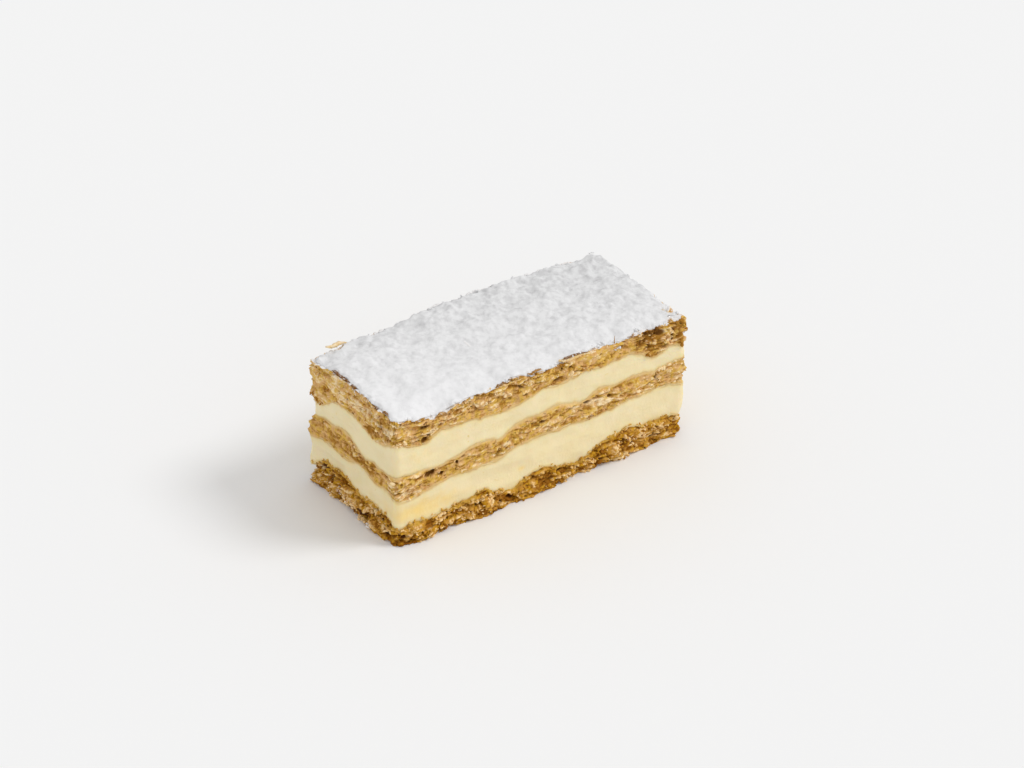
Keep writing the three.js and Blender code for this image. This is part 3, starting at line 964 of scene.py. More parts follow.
# The next three are painted shade: how far a pore, a crack and a gape are darkened in colour.
PORE_DARK = 0.75  # how dark a pore, a crack and a gape are, next to a placed pit
CRACK_DARK = 0.45
GAPE_DARK = 0.75
MIDDLE_SHADE = 0.44  # the shade that calm crumb fades to
LEAF_TONE_TALL = 0.55  # height of the faint light and dark lines of leaves
LUMP_SIZE = (3.4, 2.2)
TOUCHES = [  # along, height, half width, half height, how far out
    (286, 34, 6, 4, -0.9),
    (286, 2.5, 7, 5, -1.2),
    (318, 0.5, 8, 6, -1.5),
    (317.8, 3.4, 5, 3, 2.2),
    (321.5, 6, 5, 3.2, -1.7),
]


def plates_relief(along, z, size, pattern):
    """Uneven plates that stand out by their own value and tilt their own way. Gives the
    relief, the cracks between plates, and each plate's value."""
    _, gap, value, slope = cut_cells(along, z, size[0], size[1], pattern)
    return value + PLATE_TILT * slope, 1 - ease(gap / CRACK_HALF), value


def pastry_relief(along, z, calm, pattern, coarse, pores, lumps):
    """Finer relief on a sheet's cut side, in millimetres outwards, with two masks: the painted
    shade of pores, placed pits, cracks and gapes, and the shade of its plate. It is weaker
    where the side is calm. Plates and lumps of crumb that stand out get a lighter shade than
    the gaps and chip cracks between them, partly their own tone and partly painted light and
    shade."""
    bend = 0.9 * cut_noise(along, z, 9.0, 5.0, pattern + 30)
    bend = bend + 0.4 * cut_noise(along, z, 2.6, 2.0, pattern + 31)
    shift = 0.7 * cut_noise(along, z, 2.1, 1.3, pattern + 32)
    level = (z + bend) / LEAF_THICKNESS
    leaf = np.floor(level)
    rest = level - leaf
    leaf_jut = cut_noise(along, leaf, 4.6, 1.0, pattern + 40)
    seam = 1 - ease(np.minimum(rest, 1 - rest) / SEAM_HALF)
    parted = ease(0.4 + 0.9 * cut_noise(along, z, 8.0, 3.5, pattern + 41))
    nearest_seam = np.rint(level)
    gape = ease((cut_noise(along, nearest_seam, 2.4, 1.0, pattern + 42) - 0.2) / 0.35)
    gape = gape * (1 - ease(np.abs(level - nearest_seam) / GAPE_HALF))

    large, large_crack, _ = plates_relief(along + shift, z + bend, FLAKE_PLATE, pattern + 50)
    chip, chip_crack, chip_value = plates_relief(
        along + 0.6 * shift, z + 0.7 * bend, CHIP_PLATE, pattern + 52
    )
    crumb, _, crumb_value = plates_relief(along, z, CRUMB_PLATE, pattern + 54)

    pore = cut_noise(along + shift, z + bend, PORE_WIDE, PORE_TALL, pattern + 60)
    pore = pore + 0.5 * cut_noise(along, z + bend, PORE_WIDE / 2, PORE_TALL / 2, pattern + 61)
    pore = ease((pore - PORE_LEVEL + pores) / PORE_EDGE)
    placed = pits_at(along, z, pattern)
    leaf_tone = cut_noise(along, z + bend, 3.2, LEAF_TONE_TALL, pattern + 65)
    lump = lumps * cut_noise(along + shift, z + 0.5 * bend, *LUMP_SIZE, pattern + 67)

    plates_out = FLAKE_JUT * large + CHIP_JUT * chip + CRUMB_JUT * crumb + LEAF_JUT * leaf_jut
    out = plates_out - SEAM_DEPTH * seam * parted - GAPE_DEPTH * gape
    out = out - CRACK_DEPTH * (large_crack * parted + 0.4 * chip_crack)
    out = coarse * calm * out + lump * calm - PORE_DEPTH * pore * calm - placed
    # Painted shade: pores, placed pits, cracks and gapes are darkened in colour, besides being sunk.
    shade_and_dark_crust = np.clip(np.maximum(PORE_DARK * pore, placed), 0, 1)
    shade_and_dark_crust = np.maximum(shade_and_dark_crust, CRACK_DARK * large_crack * parted)
    shade_and_dark_crust = np.maximum(shade_and_dark_crust, GAPE_DARK * gape * np.clip(calm, 0, 1))
    # The shade is lighter where plates and lumps stand out and darker at chip cracks: partly the crumb's
    # own tone, partly painted light and shade.
    shade = 0.46 + 0.42 * plates_out + 0.08 * chip_value + 0.1 * crumb_value
    shade = shade + 0.3 * leaf_tone - 0.14 * chip_crack + 0.7 * lump
    shade = MIDDLE_SHADE + (shade - MIDDLE_SHADE) * (0.3 + 0.75 * calm)
    return out + bumps(TOUCHES, along, z), shade_and_dark_crust, np.clip(shade, 0, 1)


strip = pastry_relief(
    np.linspace(50, 60, 200), np.full(200, 43.0), calm=1, pattern=13, coarse=1, pores=0.27, lumps=0.22
)
print("fine relief over a centimetre, mm:", round(float(np.ptp(strip[0])), 2))

# %% [markdown]
# ## Where a sheet is toasted or dusted
#
# Leaves brown first where they touch the tin or lie at the very top, and where a corner
# stuck out in the oven. Two masks say so: `toast` follows the top skin and a few browner
# places, and `dust` follows the sugared rim, where powder has rolled over the edge. A third
# list names the calm places, where the knife has pressed the crumb smooth.

# %% Calm, toast and dust
CALM_PLACES = [  # along, height, half width, half height, how calm
    (300, 42, 20, 10, 0.9),
    (313, 39, 12, 6, 0.5),
    (298, 24, 18, 8, 0.8),
    (84, 43, 12, 7, 0.7),
    (48, 38, 14, 4, 0.6),
    (37, 28.5, 5, 2.5, 0.8),
    (4, 43, 7, 5, 0.85),
    (102, 29, 16, 6, 0.6),
]
BROWNER_PLACES = [  # along, height, half width, half height, how much, below 0 where paler
    # This place darkens the crags and dent at the top right: partly browner crust, partly painted shade.
    (103, 43.5, 10, 7, 1.0),
    (106, 36.2, 4, 3, 0.9),
    (117, 42, 5, 9, 0.7),
    (66.9, 47.4, 2.2, 2.0, 1.1),
    (285.5, 33.5, 6, 4.5, 0.9),
    (294.4, 40.2, 4, 3, 0.7),
    # Over the left end's pit: partly browner crust, partly painted shade.
    (317.6, 3.5, 5, 3, 0.9),
    (306, 23, 34, 8, 0.65),
    (310, 44, 30, 6, -0.45),
    (288, 8, 6, 4, 0.4),
    (302, 6, 18, 6, -0.2),
    (98, 5, 14, 6, -0.25),
    # Over a dent and pit of the base: partly browner crust, partly painted shade.
    (92.5, 5.5, 3, 3, 0.5),
    (106, 27, 14, 6, -0.12),
    (40, 42, 44, 9, 0.1),
    (62, 5, 12, 5, 0.5),
    (28, 4, 14, 5, -0.25),
    (18, 24, 24, 6, 0.5),
    (0, 3, 8, 4, 0.25),
]
DUSTED_PLACES = [  # along, height, half width, half height, how much powder
    (310, 49, 26, 2.2, 0.5),
    (226, 49.6, 66, 3.4, 2.2),
    (147, 49.2, 25, 3.2, 2.0),
    (319, 0.5, 7, 1.4, 0.8),
    (89.3, 45, 2.2, 1.0, 1.0),
    (76, 48, 8, 1.0, 0.6),
    (106, 42.5, 7, 4, 0.15),
    (300, 43, 16, 9, 0.2),
    (112, 47, 4, 1.4, 0.5),
    (303, 3, 26, 6, 0.35),
    (98, 6, 14, 6, 0.25),
    (321.5, 0.8, 3, 1.8, 1.6),
]


def patches_at(places, along, z):
    """Soft patches of a mask: the strongest of each place's eased shape, and the most
    negative one besides."""
    strongest = np.zeros(np.shape(along + z))
    weakest = strongest
    for *place, amount in places:
        patch = amount * (1 - ease(reach_from(place, along, z)))
        strongest = np.maximum(strongest, patch)
        weakest = np.minimum(weakest, patch)
    return strongest + weakest


print("calm, browner and dusted places:", len(CALM_PLACES), len(BROWNER_PLACES), len(DUSTED_PLACES))

# %% [markdown]
# The knife smears cream over the crumb and crumb into the cream. So next to the cream a
# sheet's side is flush with it, moist and calm, and both take on nearly the same colour, so
# that one fades into the other. That needs the cream's own surface, which is worked out
# here: broad shallow dents where the knife dragged, soft unevenness, and faint streaks.

# %% The cream's side, and where crumb is soaked
DRAG_DEPTH = 0.7
DRAG_WIDE = PERIMETER / 28
DRAG_TALL = 6.0
UNEVEN_HEIGHT = 0.13
STREAK_HEIGHT = 0.05
LOWER_CREAM = 41
UPPER_CREAM = 42
SOAKED_HEIGHT = 1.7
SOAKED_WAVER = 0.6  # share by which that height varies along the cut
SOAKED_JUT = 0.04  # how far soaked crumb stands out of the cream
CREAM_TOUCHES = [  # along, height, half width, half height, how far out
    (288, 7.5, 9, 9, 1.8),
    (122, 19, 9, 9, 0.9),
    (121, 12, 9, 7, 1.4),
]


def cream_inset(along, z, pattern):
    """How far the cream's side lies inside the cut."""
    drag = DRAG_DEPTH * np.maximum(0, cut_noise(along, z, DRAG_WIDE, DRAG_TALL, pattern))
    uneven = UNEVEN_HEIGHT * cut_noise(along, z, 3.4, 2.4, pattern + 5)
    streaks = STREAK_HEIGHT * cut_noise(along, z, 6.0, 0.5, pattern + 6)
    return drag - uneven - streaks - bumps(SWELLINGS, along, z) - bumps(CREAM_TOUCHES, along, z)


def soaked_share(along, z, line_height, pattern):
    """1 at the line where a sheet meets cream, easing to 0 over a height that varies."""
    band = SOAKED_HEIGHT * (1 + SOAKED_WAVER * cut_noise(along, z, 5.0, 4.0, pattern + 63))
    return 1 - ease(np.abs(z - line_height) / band)


print("cream's inset at the front's middle, mm:", round(float(cream_inset(59.0, 14.0, LOWER_CREAM)), 2))

# %% [markdown]
# ## A sheet of puff pastry
#
# A real sheet is a dozen brittle leaves. A model of every leaf would be far too heavy, and a
# sculpted block could not be changed by a number. So a sheet is one closed skin: a fine
# grid for its cut side, moved outwards by the crags and the finer relief, and loops for its
# faces, which mostly lie hidden. The masks come from the same noises as the shape, so that
# the painted shade of pores and pits lies just where they are deep.

# %% The grid of a cut side
LONG_COLUMNS = 470
END_COLUMNS = 199
WORN_CORNERS = (LENGTH + 2.5, LEFT_END_START)  # two corners rubbed bare of loose crumb
WORN_REACH = 5


def worn_corners(along):
    """0 at the corners that are rubbed bare, easing to 1 a few millimetres away."""
    return ease(np.min([np.abs(along - corner) for corner in WORN_CORNERS], axis=0) / WORN_REACH)


def side_grid(under, over, walk, rows):
    """The plain grid of a layer's cut side, before any relief. Gives the heights of its lower
    and upper edge, each row's share of the way up, and every point's height and distance
    along the outline."""
    along, across, deep = walk
    edge_x, edge_y = plan_point(across, deep, 0.0)
    low = under(edge_x, edge_y, along, 0.0)
    high = over(edge_x, edge_y, along, 0.0)
    share = np.linspace(0, 1, rows + 1)[:, None]
    z = low * (1 - share) + high * share
    return low, high, share, z, np.broadcast_to(along, z.shape)


print("points round a sheet:", 2 * (LONG_COLUMNS + END_COLUMNS))

# %% One pastry sheet
CRUMBLY_ZONE = (11.0, 4.5)  # width and height of zones that are calmer or more crumbly
CALM_SHARE = 0.25  # of the loose crumb in a crumbly zone, this share lies in a calm one
RIM_TUCK = 0.35
RIM_ROUND = 0.7  # height over which a dry rim is rounded
SKIN_HEIGHT = 0.9  # how far down the side the top's browned skin shows
SOAKED_TOAST = 0.1
LOOSE_PLATE = 1.5  # width of the loose plates on the top sheet's face
LOOSE_JUT = 0.16
LOOSE_CRACK = 0.2
POWDERED = 0.55  # how much powder lies on the rim that the sugar leaves bare
CAP_SHARES = (0.04, 0.1, 0.2, 0.36, 0.62, 1.0)  # of EDGE_REACH, with one loop at each
RIM_SHARES = (0.06, 0.13, 0.21, 0.3, 0.4, 0.52, 0.66, 0.82)  # the same on the top's bare rim
TOP_CAP_INSETS = (3.6, 5, 7, 9, 11, 13, 15, 17, 19, 21)


def pastry_sheet(name, under, over, rows, jut, rough, pattern, coarse, pores, lumps,
                 cream_below=None, cream_above=None, broken=0.5, flush=0.92, smear=0.9, foot=None,
                 toast=0.0, skin=0.0, blistered=False):
    """One sheet. Its side is a grid of distance along the cut and share of the height, moved
    outwards by the crags and the finer relief. Its faces are loops that ease from the side's
    own outline to a plain one inside the slice. The numbers say how far out and how rough its
    crags are, how coarse, porous and lumpy its relief is, how broken it is, how flush with
    the cream and smeared by it, and how brown it and its top skin are."""
    along, across, deep = outline_walk(LONG_COLUMNS, END_COLUMNS)
    low, high, share, z, along_grid = side_grid(under, over, (along, across, deep), rows)
    borders = [(cream_below, low), (cream_above, high)]
    soaks = [
        np.zeros_like(z) if cream is None else soaked_share(along_grid, z, line, pattern)
        for cream, line in borders
    ]
    soaked = np.maximum(*soaks)
    pressed = patches_at(CALM_PLACES, along_grid, z)
    zones = cut_noise(along_grid, z, *CRUMBLY_ZONE, pattern + 66)
    crumbly = ease(broken + 1.1 * zones) * (1 - pressed)
    calm = (1 - 0.75 * soaked) * (0.6 + 0.65 * crumbly) * (1 - 0.45 * pressed)
    out, shade_and_dark_crust, shade = pastry_relief(along_grid, z, calm, pattern, coarse, pores, lumps)
    out = out + crags(along_grid, z, jut, rough, pattern)
    if foot is not None:
        out = out + foot(along_grid) * (1 - ease(share))
    for (cream, line), soak in zip(borders, soaks):
        if cream is None:
            out = out - RIM_TUCK * (1 - ease(np.abs(z - line) / RIM_ROUND))
        else:
            level_out = SOAKED_JUT - cream_inset(along_grid, z, cream)
            out = out + flush * soak * (level_out - out)
    side_x, side_y = plan_point(across, deep, -out)

    toast_side = toast + patches_at(BROWNER_PLACES, along_grid, z)
    browned = ease(0.5 + cut_noise(along_grid, 0, 6.0, 1.0, 58))
    baked_skin = skin * (1 - ease((high - z) / SKIN_HEIGHT)) * browned
    toast_side = toast_side + baked_skin + SOAKED_TOAST * soaked
    dust_side = patches_at(DUSTED_PLACES, along_grid, z) * (1 - shade_and_dark_crust)
    uneven = 0.4 * cut_noise(along_grid, z, 2.4, 1.2, pattern + 64)
    soaked_side = smear * ease((soaked - 0.3 + uneven) / 0.7)
    masks_side = (shade_and_dark_crust, shade, toast_side, dust_side, soaked_side)

    def cap(face, side_row, insets, crumbly):
        """Loops over a face, from the side inwards. A crumbly face has loose plates on it,
        and its masks change from plate to plate."""
        loops = []
        masks = []
        for inset in insets:
            x, y = plan_point(across, deep, inset)
            _, crack, value, slope = cells(x / LOOSE_PLATE, y / LOOSE_PLATE, pattern + 56)
            z_face = face(x, y, along, inset)
            row_masks = [mask[side_row] for mask in masks_side]
            if crumbly:
                cracked = LOOSE_CRACK * (1 - ease(crack / CRACK_HALF))
                z_face = z_face + LOOSE_JUT * (value + 2 * slope) - cracked
                flour = 0.5 * soft_noise(x / 1.1, y / 1.1, 57) + 0.5 * soft_noise(x / 3, y / 3, 58)
                row_masks[1] = np.clip(0.4 + 0.35 * value, 0, 1)
                row_masks[2] = skin * (0.5 + 0.5 * soft_noise(x / 4, y / 4, 59))
                dusted = patches_at(DUSTED_PLACES, along, z_face)
                row_masks[3] = np.clip(POWDERED + 0.5 * flour + dusted, 0, 1)
                row_masks[4] = np.zeros_like(value)
            loops.append(np.stack([x, y, z_face], -1))
            masks.append(row_masks)
        return np.array(loops), [np.array(group) for group in zip(*masks)]

    def eased_insets(side_row, reach, shares):
        """Insets that start at the side's own outline and end at one inset."""
        start = -out[side_row]
        return [start + (reach - start) * share for share in shares]

    under_insets = eased_insets(0, EDGE_REACH, CAP_SHARES)[::-1]
    over_insets = eased_insets(-1, EDGE_REACH, CAP_SHARES)
    if blistered:
        over_insets = eased_insets(-1, TOP_CAP_INSETS[0], RIM_SHARES) + list(TOP_CAP_INSETS)
    under_cap, under_masks = cap(under, 0, under_insets, crumbly=False)
    over_cap, over_masks = cap(over, -1, over_insets, crumbly=blistered)
    side = np.stack([side_x, side_y, z], -1)
    loops = np.concatenate([under_cap, side, over_cap])
    masks = [np.concatenate(group) for group in zip(under_masks, masks_side, over_masks)]
    faces = loop_faces(len(loops), LONG_COLUMNS, END_COLUMNS)
    named = dict(zip(("shade_and_dark_crust", "shade", "toast", "dust", "soaked"), masks))
    loose = (CALM_SHARE + (1 - CALM_SHARE) * crumbly) * (1 - 0.85 * soaked) * (1 - shade_and_dark_crust)
    loose = loose * worn_corners(along_grid)
    surface = {
        "out": out, "z": z, "low": low, "high": high, "loose": loose, "soaked": soaked,
        "shade": shade, "shade_and_dark_crust": shade_and_dark_crust,
    }
    return make_mesh(name, loops.reshape(-1, 3), faces, named), surface


print("loops over the top sheet's face:", len(RIM_SHARES + TOP_CAP_INSETS))

# %% [markdown]
# The three sheets come from this one function. The base is coarse, brown and crumbly, and
# juts out at its foot. The middle one is pressed between two layers of cream and is the
# calmest. The top one is the tallest, and its face is blistered and browner than its side.

# %% The three sheets


def meeting_at(name, lift=0.0):
    """A face that follows a meeting line, lifted by a little where two layers overlap."""
    return lambda x, y, along, inset: meeting(name, along, inset) + lift


def flat_bottom(x, y, along, inset):
    """The underside of the slice lies on the plate."""
    return np.zeros(np.shape(along))


base_mesh, base_surface = pastry_sheet(
    "base_sheet", flat_bottom, meeting_at("base_top"), rows=36, jut=0.2, rough=1.1,
    pattern=11, coarse=1.2, pores=0.32, lumps=0.5, cream_above=LOWER_CREAM,
    broken=0.9, flush=0.35, smear=0.6, foot=foot_jut, toast=0.3,
)
middle_mesh, middle_surface = pastry_sheet(
    "middle_sheet", meeting_at("middle_underside"), meeting_at("middle_top"), rows=42,
    jut=0.1, rough=0.9, pattern=12, coarse=0.8, pores=0.22, lumps=0.15,
    cream_below=LOWER_CREAM, cream_above=UPPER_CREAM,
)
top_mesh, top_surface = pastry_sheet(
    "top_sheet", meeting_at("top_underside"), top_face, rows=44, jut=0.3, rough=1.0,
    pattern=13, coarse=1.0, pores=0.27, lumps=0.22, cream_below=UPPER_CREAM,
    skin=0.7, blistered=True,
)
add_piece(base_mesh, brown_crust, ["base_pastry"])
add_piece(middle_mesh, golden_crust, ["middle_pastry"])
add_piece(top_mesh, golden_crust, ["top_pastry"])

# %% [markdown]
# ## Custard cream
#
# The cream is what holds the slice together. The knife drags it, so its side is smooth,
# with broad shallow dents and faint streaks, and it stands a little behind the crust.
# It is the same stack of loops as a sheet, with a much calmer relief. It reaches a little
# way into the sheets above and below, so that no gap shows between them, and where a sheet
# is flush, patches of cream come through the crumb. Two masks ride along: `rich` for a
# deeper yellow and `stained` for the narrow band where crumb has mixed in.

# %% Cream layers
CREAM_LONG_COLUMNS = 400
CREAM_END_COLUMNS = 169
CREAM_ROWS = 36
CREAM_BITE = 0.6
CREAM_CAP_SHARES = (0.08, 0.3, 0.65, 1.0)
RICH_HEIGHT = 2.0  # how far from a sheet the cream is a richer yellow
RICH_SHARE = 0.5
STAIN_HEIGHT = 0.75
STAIN_SHARE = 0.8
RICH_PLACES = [  # along, height, half width, half height, how much
    (9, 11, 30, 8, 0.75),
    (9, 32, 12, 5, 0.35),
    (50.6, 11, 3, 1.6, 0.6),
    (105.7, 8.7, 4, 1.6, 0.6),
]


def cream_layer(name, under, over, pattern):
    """A layer of cream. Its side is moved inwards by cream_inset. It is richer yellow
    towards the sheets, where fat has soaked in, and in a few patches, and stained with
    crumb right beside them."""
    along, across, deep = outline_walk(CREAM_LONG_COLUMNS, CREAM_END_COLUMNS)
    low, high, _, z, along_grid = side_grid(under, over, (along, across, deep), CREAM_ROWS)
    inset = cream_inset(along_grid, z, pattern)
    side_x, side_y = plan_point(across, deep, inset)
    side = np.stack([side_x, side_y, z], -1)
    from_sheet = np.minimum(z - low, high - z) - CREAM_BITE
    next_to_sheet = 1 - ease(from_sheet / RICH_HEIGHT)
    rich = np.maximum(RICH_SHARE * next_to_sheet, patches_at(RICH_PLACES, along_grid, z))
    reach = STAIN_HEIGHT * (1 + 0.8 * cut_noise(along_grid, z, 3.0, 2.0, pattern + 7))
    stained = STAIN_SHARE * (1 - ease(from_sheet / np.maximum(reach, 0.2)))

    def cap(face, side_row):
        """Loops over a face, from the side inwards."""
        loops = []
        for share in CREAM_CAP_SHARES:
            inwards = inset[side_row] + (EDGE_REACH - inset[side_row]) * share
            x, y = plan_point(across, deep, inwards)
            loops.append(np.stack([x, y, face(x, y, along, inwards)], -1))
        return loops

    under_cap = cap(under, 0)[::-1]
    over_cap = cap(over, -1)
    loops = np.array(under_cap + list(side) + over_cap)
    rows_added = ((len(under_cap), len(over_cap)), (0, 0))
    named = {"rich": rich, "stained": stained}
    masks = {mask: np.pad(values, rows_added, mode="edge") for mask, values in named.items()}
    faces = loop_faces(len(loops), CREAM_LONG_COLUMNS, CREAM_END_COLUMNS)
    return make_mesh(name, loops.reshape(-1, 3), faces, masks)


lower_custard = cream_layer(
    "lower_custard", meeting_at("base_top", -CREAM_BITE),
    meeting_at("middle_underside", CREAM_BITE), LOWER_CREAM,
)
upper_custard = cream_layer(
    "upper_custard", meeting_at("middle_top", -CREAM_BITE),
    meeting_at("top_underside", CREAM_BITE), UPPER_CREAM,
)
add_piece(lower_custard, custard, ["lower_cream"])
add_piece(upper_custard, custard, ["upper_cream"])

# %% [markdown]
# ## Icing sugar
#
# The sugar lies a millimetre thick and follows every blister of the sheet under it. Seen
# close, sieved sugar is lumpy: soft clumps a few millimetres across, small dimples, and
# grain. A Subdivision Surface with a Displace modifier would do, but a grid of our own can
# end in a ragged edge. The grid is even in the middle and finer at the rim. Its corners
# are rounded by shrinking each corner square onto a quarter disc.

# %% The sugar's edge
SUGAR_THICKNESS = 1.0
SUGAR_SETBACK = 0.75
SUGAR_WAVER = 0.6
SUGAR_WAVER_WIDE = PERIMETER / 56
WAVER_PATTERN = 31
BARE_EDGES = [(105, 9, 1.2), (116, 5, 2.2), (276, 6, 1.2), (168, 5, 1.0)]  # along, half length, extra
COVERED_SIDES = (118.0, 280.0)  # from the right end to the back the sugar reaches the rim
COVERED_EASE = 8  # distance over which that begins and ends
COVERED_PULL = 0.75  # share by which its setback is less there


def sugar_setback(along):
    """How far inside the cut the sugar ends: its setback, a slow waver, the bare stretches,
    and a ragged line in two finer sizes."""
    inside = ease((along - COVERED_SIDES[0]) / COVERED_EASE)
    inside = inside * ease((COVERED_SIDES[1] - along) / COVERED_EASE)
    waver = cut_noise(along, 0.0, SUGAR_WAVER_WIDE, 1.0, WAVER_PATTERN)
    bare = [extra * (1 - ease(np.abs(along - where) / half)) for where, half, extra in BARE_EDGES]
    ragged = 0.5 * cut_noise(along, 0.0, 2.1, 1.0, 91) + 0.18 * cut_noise(along, 0.0, 0.9, 1.0, 92)
    usual = SUGAR_SETBACK + SUGAR_WAVER * waver + np.maximum.reduce(bare)
    return usual * (1 - COVERED_PULL * inside) + ragged


def four_sides(across, deep):
    """The distances along the outline on the front, the right end, the back and the left
    end, for any across and deep from -1 to 1."""
    front = (across + 1) / 2 * LENGTH
    right = LENGTH + (deep + 1) / 2 * WIDTH
    back = BACK_START + (1 - across) / 2 * LENGTH
    left = LEFT_END_START + (1 - deep) / 2 * WIDTH
    return front, right, back, left


def outline_place(x, y):
    """The distance along the outline, and the inset, of any point of the plan: its nearest
    side decides, and the point is told by its share of the ring that runs through it."""
    inset_x = LENGTH / 2 - np.abs(x)
    inset_y = WIDTH / 2 - np.abs(y)
    on_long = inset_y <= inset_x
    inset = np.minimum(inset_x, inset_y)
    across = np.clip(x / (LENGTH / 2 - inset), -1, 1)
    deep = np.clip(y / np.maximum(WIDTH / 2 - inset, 1e-9), -1, 1)
    front, right, back, left = four_sides(across, deep)
    on_side = np.where(y < 0, front, back)
    on_end = np.where(x > 0, right, left)
    return np.where(on_long, on_side, on_end), inset


print("setback at the front's middle, mm:", round(float(sugar_setback(np.array(59.0))), 2))

# %% [markdown]
# On that grid the sugar's height is the sheet's own height plus its thickness. The
# thickness grows from a thin rim over a narrow shoulder, then clumps are added and dimples
# taken away. More has been sieved on the front left corner, so it is smoother there.

# %% The sugar's height
LONG_CROWDING = 0.012  # how much the grid's lines crowd towards the ends, and the sides
WIDE_CROWDING = 0.028
SUGAR_RIM = 0.35  # thickness at the very edge
SUGAR_SHOULDER = 1.1  # from the edge in, over which the sugar reaches full thickness
DEEPEST_DIP = 0.6  # share of the thickness that a dimple may take away
CLUMPS = ((6.0, 0.75), (2.9, 0.42), (1.4, 0.13), (0.65, 0.04))  # width and height of clumps
DIMPLE_SPACING = 3.1
DIMPLE_DEPTH = 0.2
LUMPINESS = 1.02  # how strong clumps and dimples are in the middle
LUMPINESS_RISE = 0.62  # how much stronger they grow towards the back right corner


def sugar_grid(long_cells, wide_cells):
    """A grid over the plan inside the setback, with rounded corners. Grid lines crowd
    towards the rim, because a sine's slope flattens there."""
    u = np.linspace(-1, 1, long_cells + 1)[:, None] + np.zeros(wide_cells + 1)
    v = np.linspace(-1, 1, wide_cells + 1)[None, :] + np.zeros((long_cells + 1, 1))
    u = u + LONG_CROWDING * np.sin(math.pi * u)
    v = v + WIDE_CROWDING * np.sin(math.pi * v)
    front, right, back, left = four_sides(u, v)
    half_y = WIDTH / 2 - np.where(v < 0, sugar_setback(front), sugar_setback(back))
    half_x = LENGTH / 2 - np.where(u > 0, sugar_setback(right), sugar_setback(left))
    x = u * half_x
    y = v * half_y
    over_x = np.maximum(np.abs(x) - (half_x - CORNER_RADIUS), 0)
    over_y = np.maximum(np.abs(y) - (half_y - CORNER_RADIUS), 0)
    pull = np.maximum(over_x, over_y) / np.maximum(np.hypot(over_x, over_y), 1e-9)
    corner = (over_x > 0) & (over_y > 0)
    x = np.where(corner, np.sign(x) * (half_x - CORNER_RADIUS + over_x * pull), x)
    y = np.where(corner, np.sign(y) * (half_y - CORNER_RADIUS + over_y * pull), y)
    edge = np.minimum((1 - np.abs(u)) * half_x, (1 - np.abs(v)) * half_y)
    return x, y, edge


def sugar_height(x, y, edge):
    """The sugar's face above the sheet: full thickness inside its shoulder, soft clumps in
    four sizes, and dimples where a cell of a plate pattern is sunk, none of them so deep
    that the sheet shows. It is smoother towards the front left corner, where more has been
    sieved."""
    shoulder = SUGAR_RIM + (SUGAR_THICKNESS - SUGAR_RIM) * ease(edge / SUGAR_SHOULDER)
    rough = sum(high * soft_noise(x / wide, y / wide, 95 + k) for k, (wide, high) in enumerate(CLUMPS))
    far, _, value, _ = cells(x / DIMPLE_SPACING, y / DIMPLE_SPACING, 99)
    dimples = DIMPLE_DEPTH * ease((value - 0.1) / 0.3) * (1 - ease(far / 0.5))
    inside = ease(edge / SUGAR_SHOULDER)
    strength = LUMPINESS + LUMPINESS_RISE * (x / LENGTH + y / WIDTH)
    along, inset = outline_place(x, y)
    ground = top_face(x, y, along, np.maximum(inset, 0))
    lumps = strength * (rough * (0.4 + 0.6 * inside) - dimples * inside)
    return ground + shoulder + np.maximum(lumps, -DEEPEST_DIP * shoulder)


print("sugar's face near the middle, mm:", round(float(sugar_height(10.0, -10.0, 15.0)), 2))

# %% The sugar's mesh
SUGAR_LONG_CELLS = 440
SUGAR_WIDE_CELLS = 184
SUGAR_UNDER_STEP = 4  # the underside has one cell for this many of the face's
SUGAR_SINK = 0.12  # the underside lies this deep in the pastry's top


def grid_faces(start, long_cells, wide_cells):
    """Quads of a grid that face up."""
    corner = (np.arange(long_cells) * (wide_cells + 1))[:, None] + np.arange(wide_cells)
    corner = start + corner.ravel()
    beyond = corner + wide_cells + 1
    return np.stack([corner, beyond, beyond + 1, corner + 1], -1)


def grid_rim(start, long_cells, wide_cells):
    """The points round a grid's rim, counter-clockwise from its front left corner."""
    i = np.concatenate([
        np.arange(long_cells), np.full(wide_cells, long_cells),
        np.arange(long_cells, 0, -1), np.zeros(wide_cells, int),
    ])
    j = np.concatenate([
        np.zeros(long_cells, int), np.arange(wide_cells),
        np.full(long_cells, wide_cells), np.arange(wide_cells, 0, -1),
    ])
    return start + i * (wide_cells + 1) + j


def sugar_mesh():
    """The sugar's face, its coarser underside, and the rim between them, where one edge of
    the underside meets several of the face."""
    step = SUGAR_UNDER_STEP
    x, y, edge = sugar_grid(SUGAR_LONG_CELLS, SUGAR_WIDE_CELLS)
    face = np.stack([x, y, sugar_height(x, y, edge)], -1)
    under_x = x[::step, ::step]
    under_y = y[::step, ::step]
    along, inset = outline_place(under_x, under_y)
    under_z = top_face(under_x, under_y, along, np.maximum(inset, 0)) - SUGAR_SINK
    under = np.stack([under_x, under_y, under_z], -1)
    points = np.concatenate([face.reshape(-1, 3), under.reshape(-1, 3)])
    start = face.shape[0] * face.shape[1]
    under_cells = (SUGAR_LONG_CELLS // step, SUGAR_WIDE_CELLS // step)
    upper_rim = grid_rim(0, SUGAR_LONG_CELLS, SUGAR_WIDE_CELLS)
    lower_rim = grid_rim(start, *under_cells)
    along_rim = np.arange(len(lower_rim))
    upper_places = (along_rim[:, None] * step + np.arange(step, -1, -1)) % len(upper_rim)
    lower_places = np.stack([along_rim, (along_rim + 1) % len(lower_rim)], -1)
    rim = np.concatenate([lower_rim[lower_places], upper_rim[upper_places]], -1)
    faces = [
        grid_faces(0, SUGAR_LONG_CELLS, SUGAR_WIDE_CELLS),
        grid_faces(start, *under_cells)[:, ::-1],
        rim,
    ]
    return make_mesh("sugar_dusting", points, faces)


add_piece(sugar_mesh(), icing_powder, ["icing_sugar"])

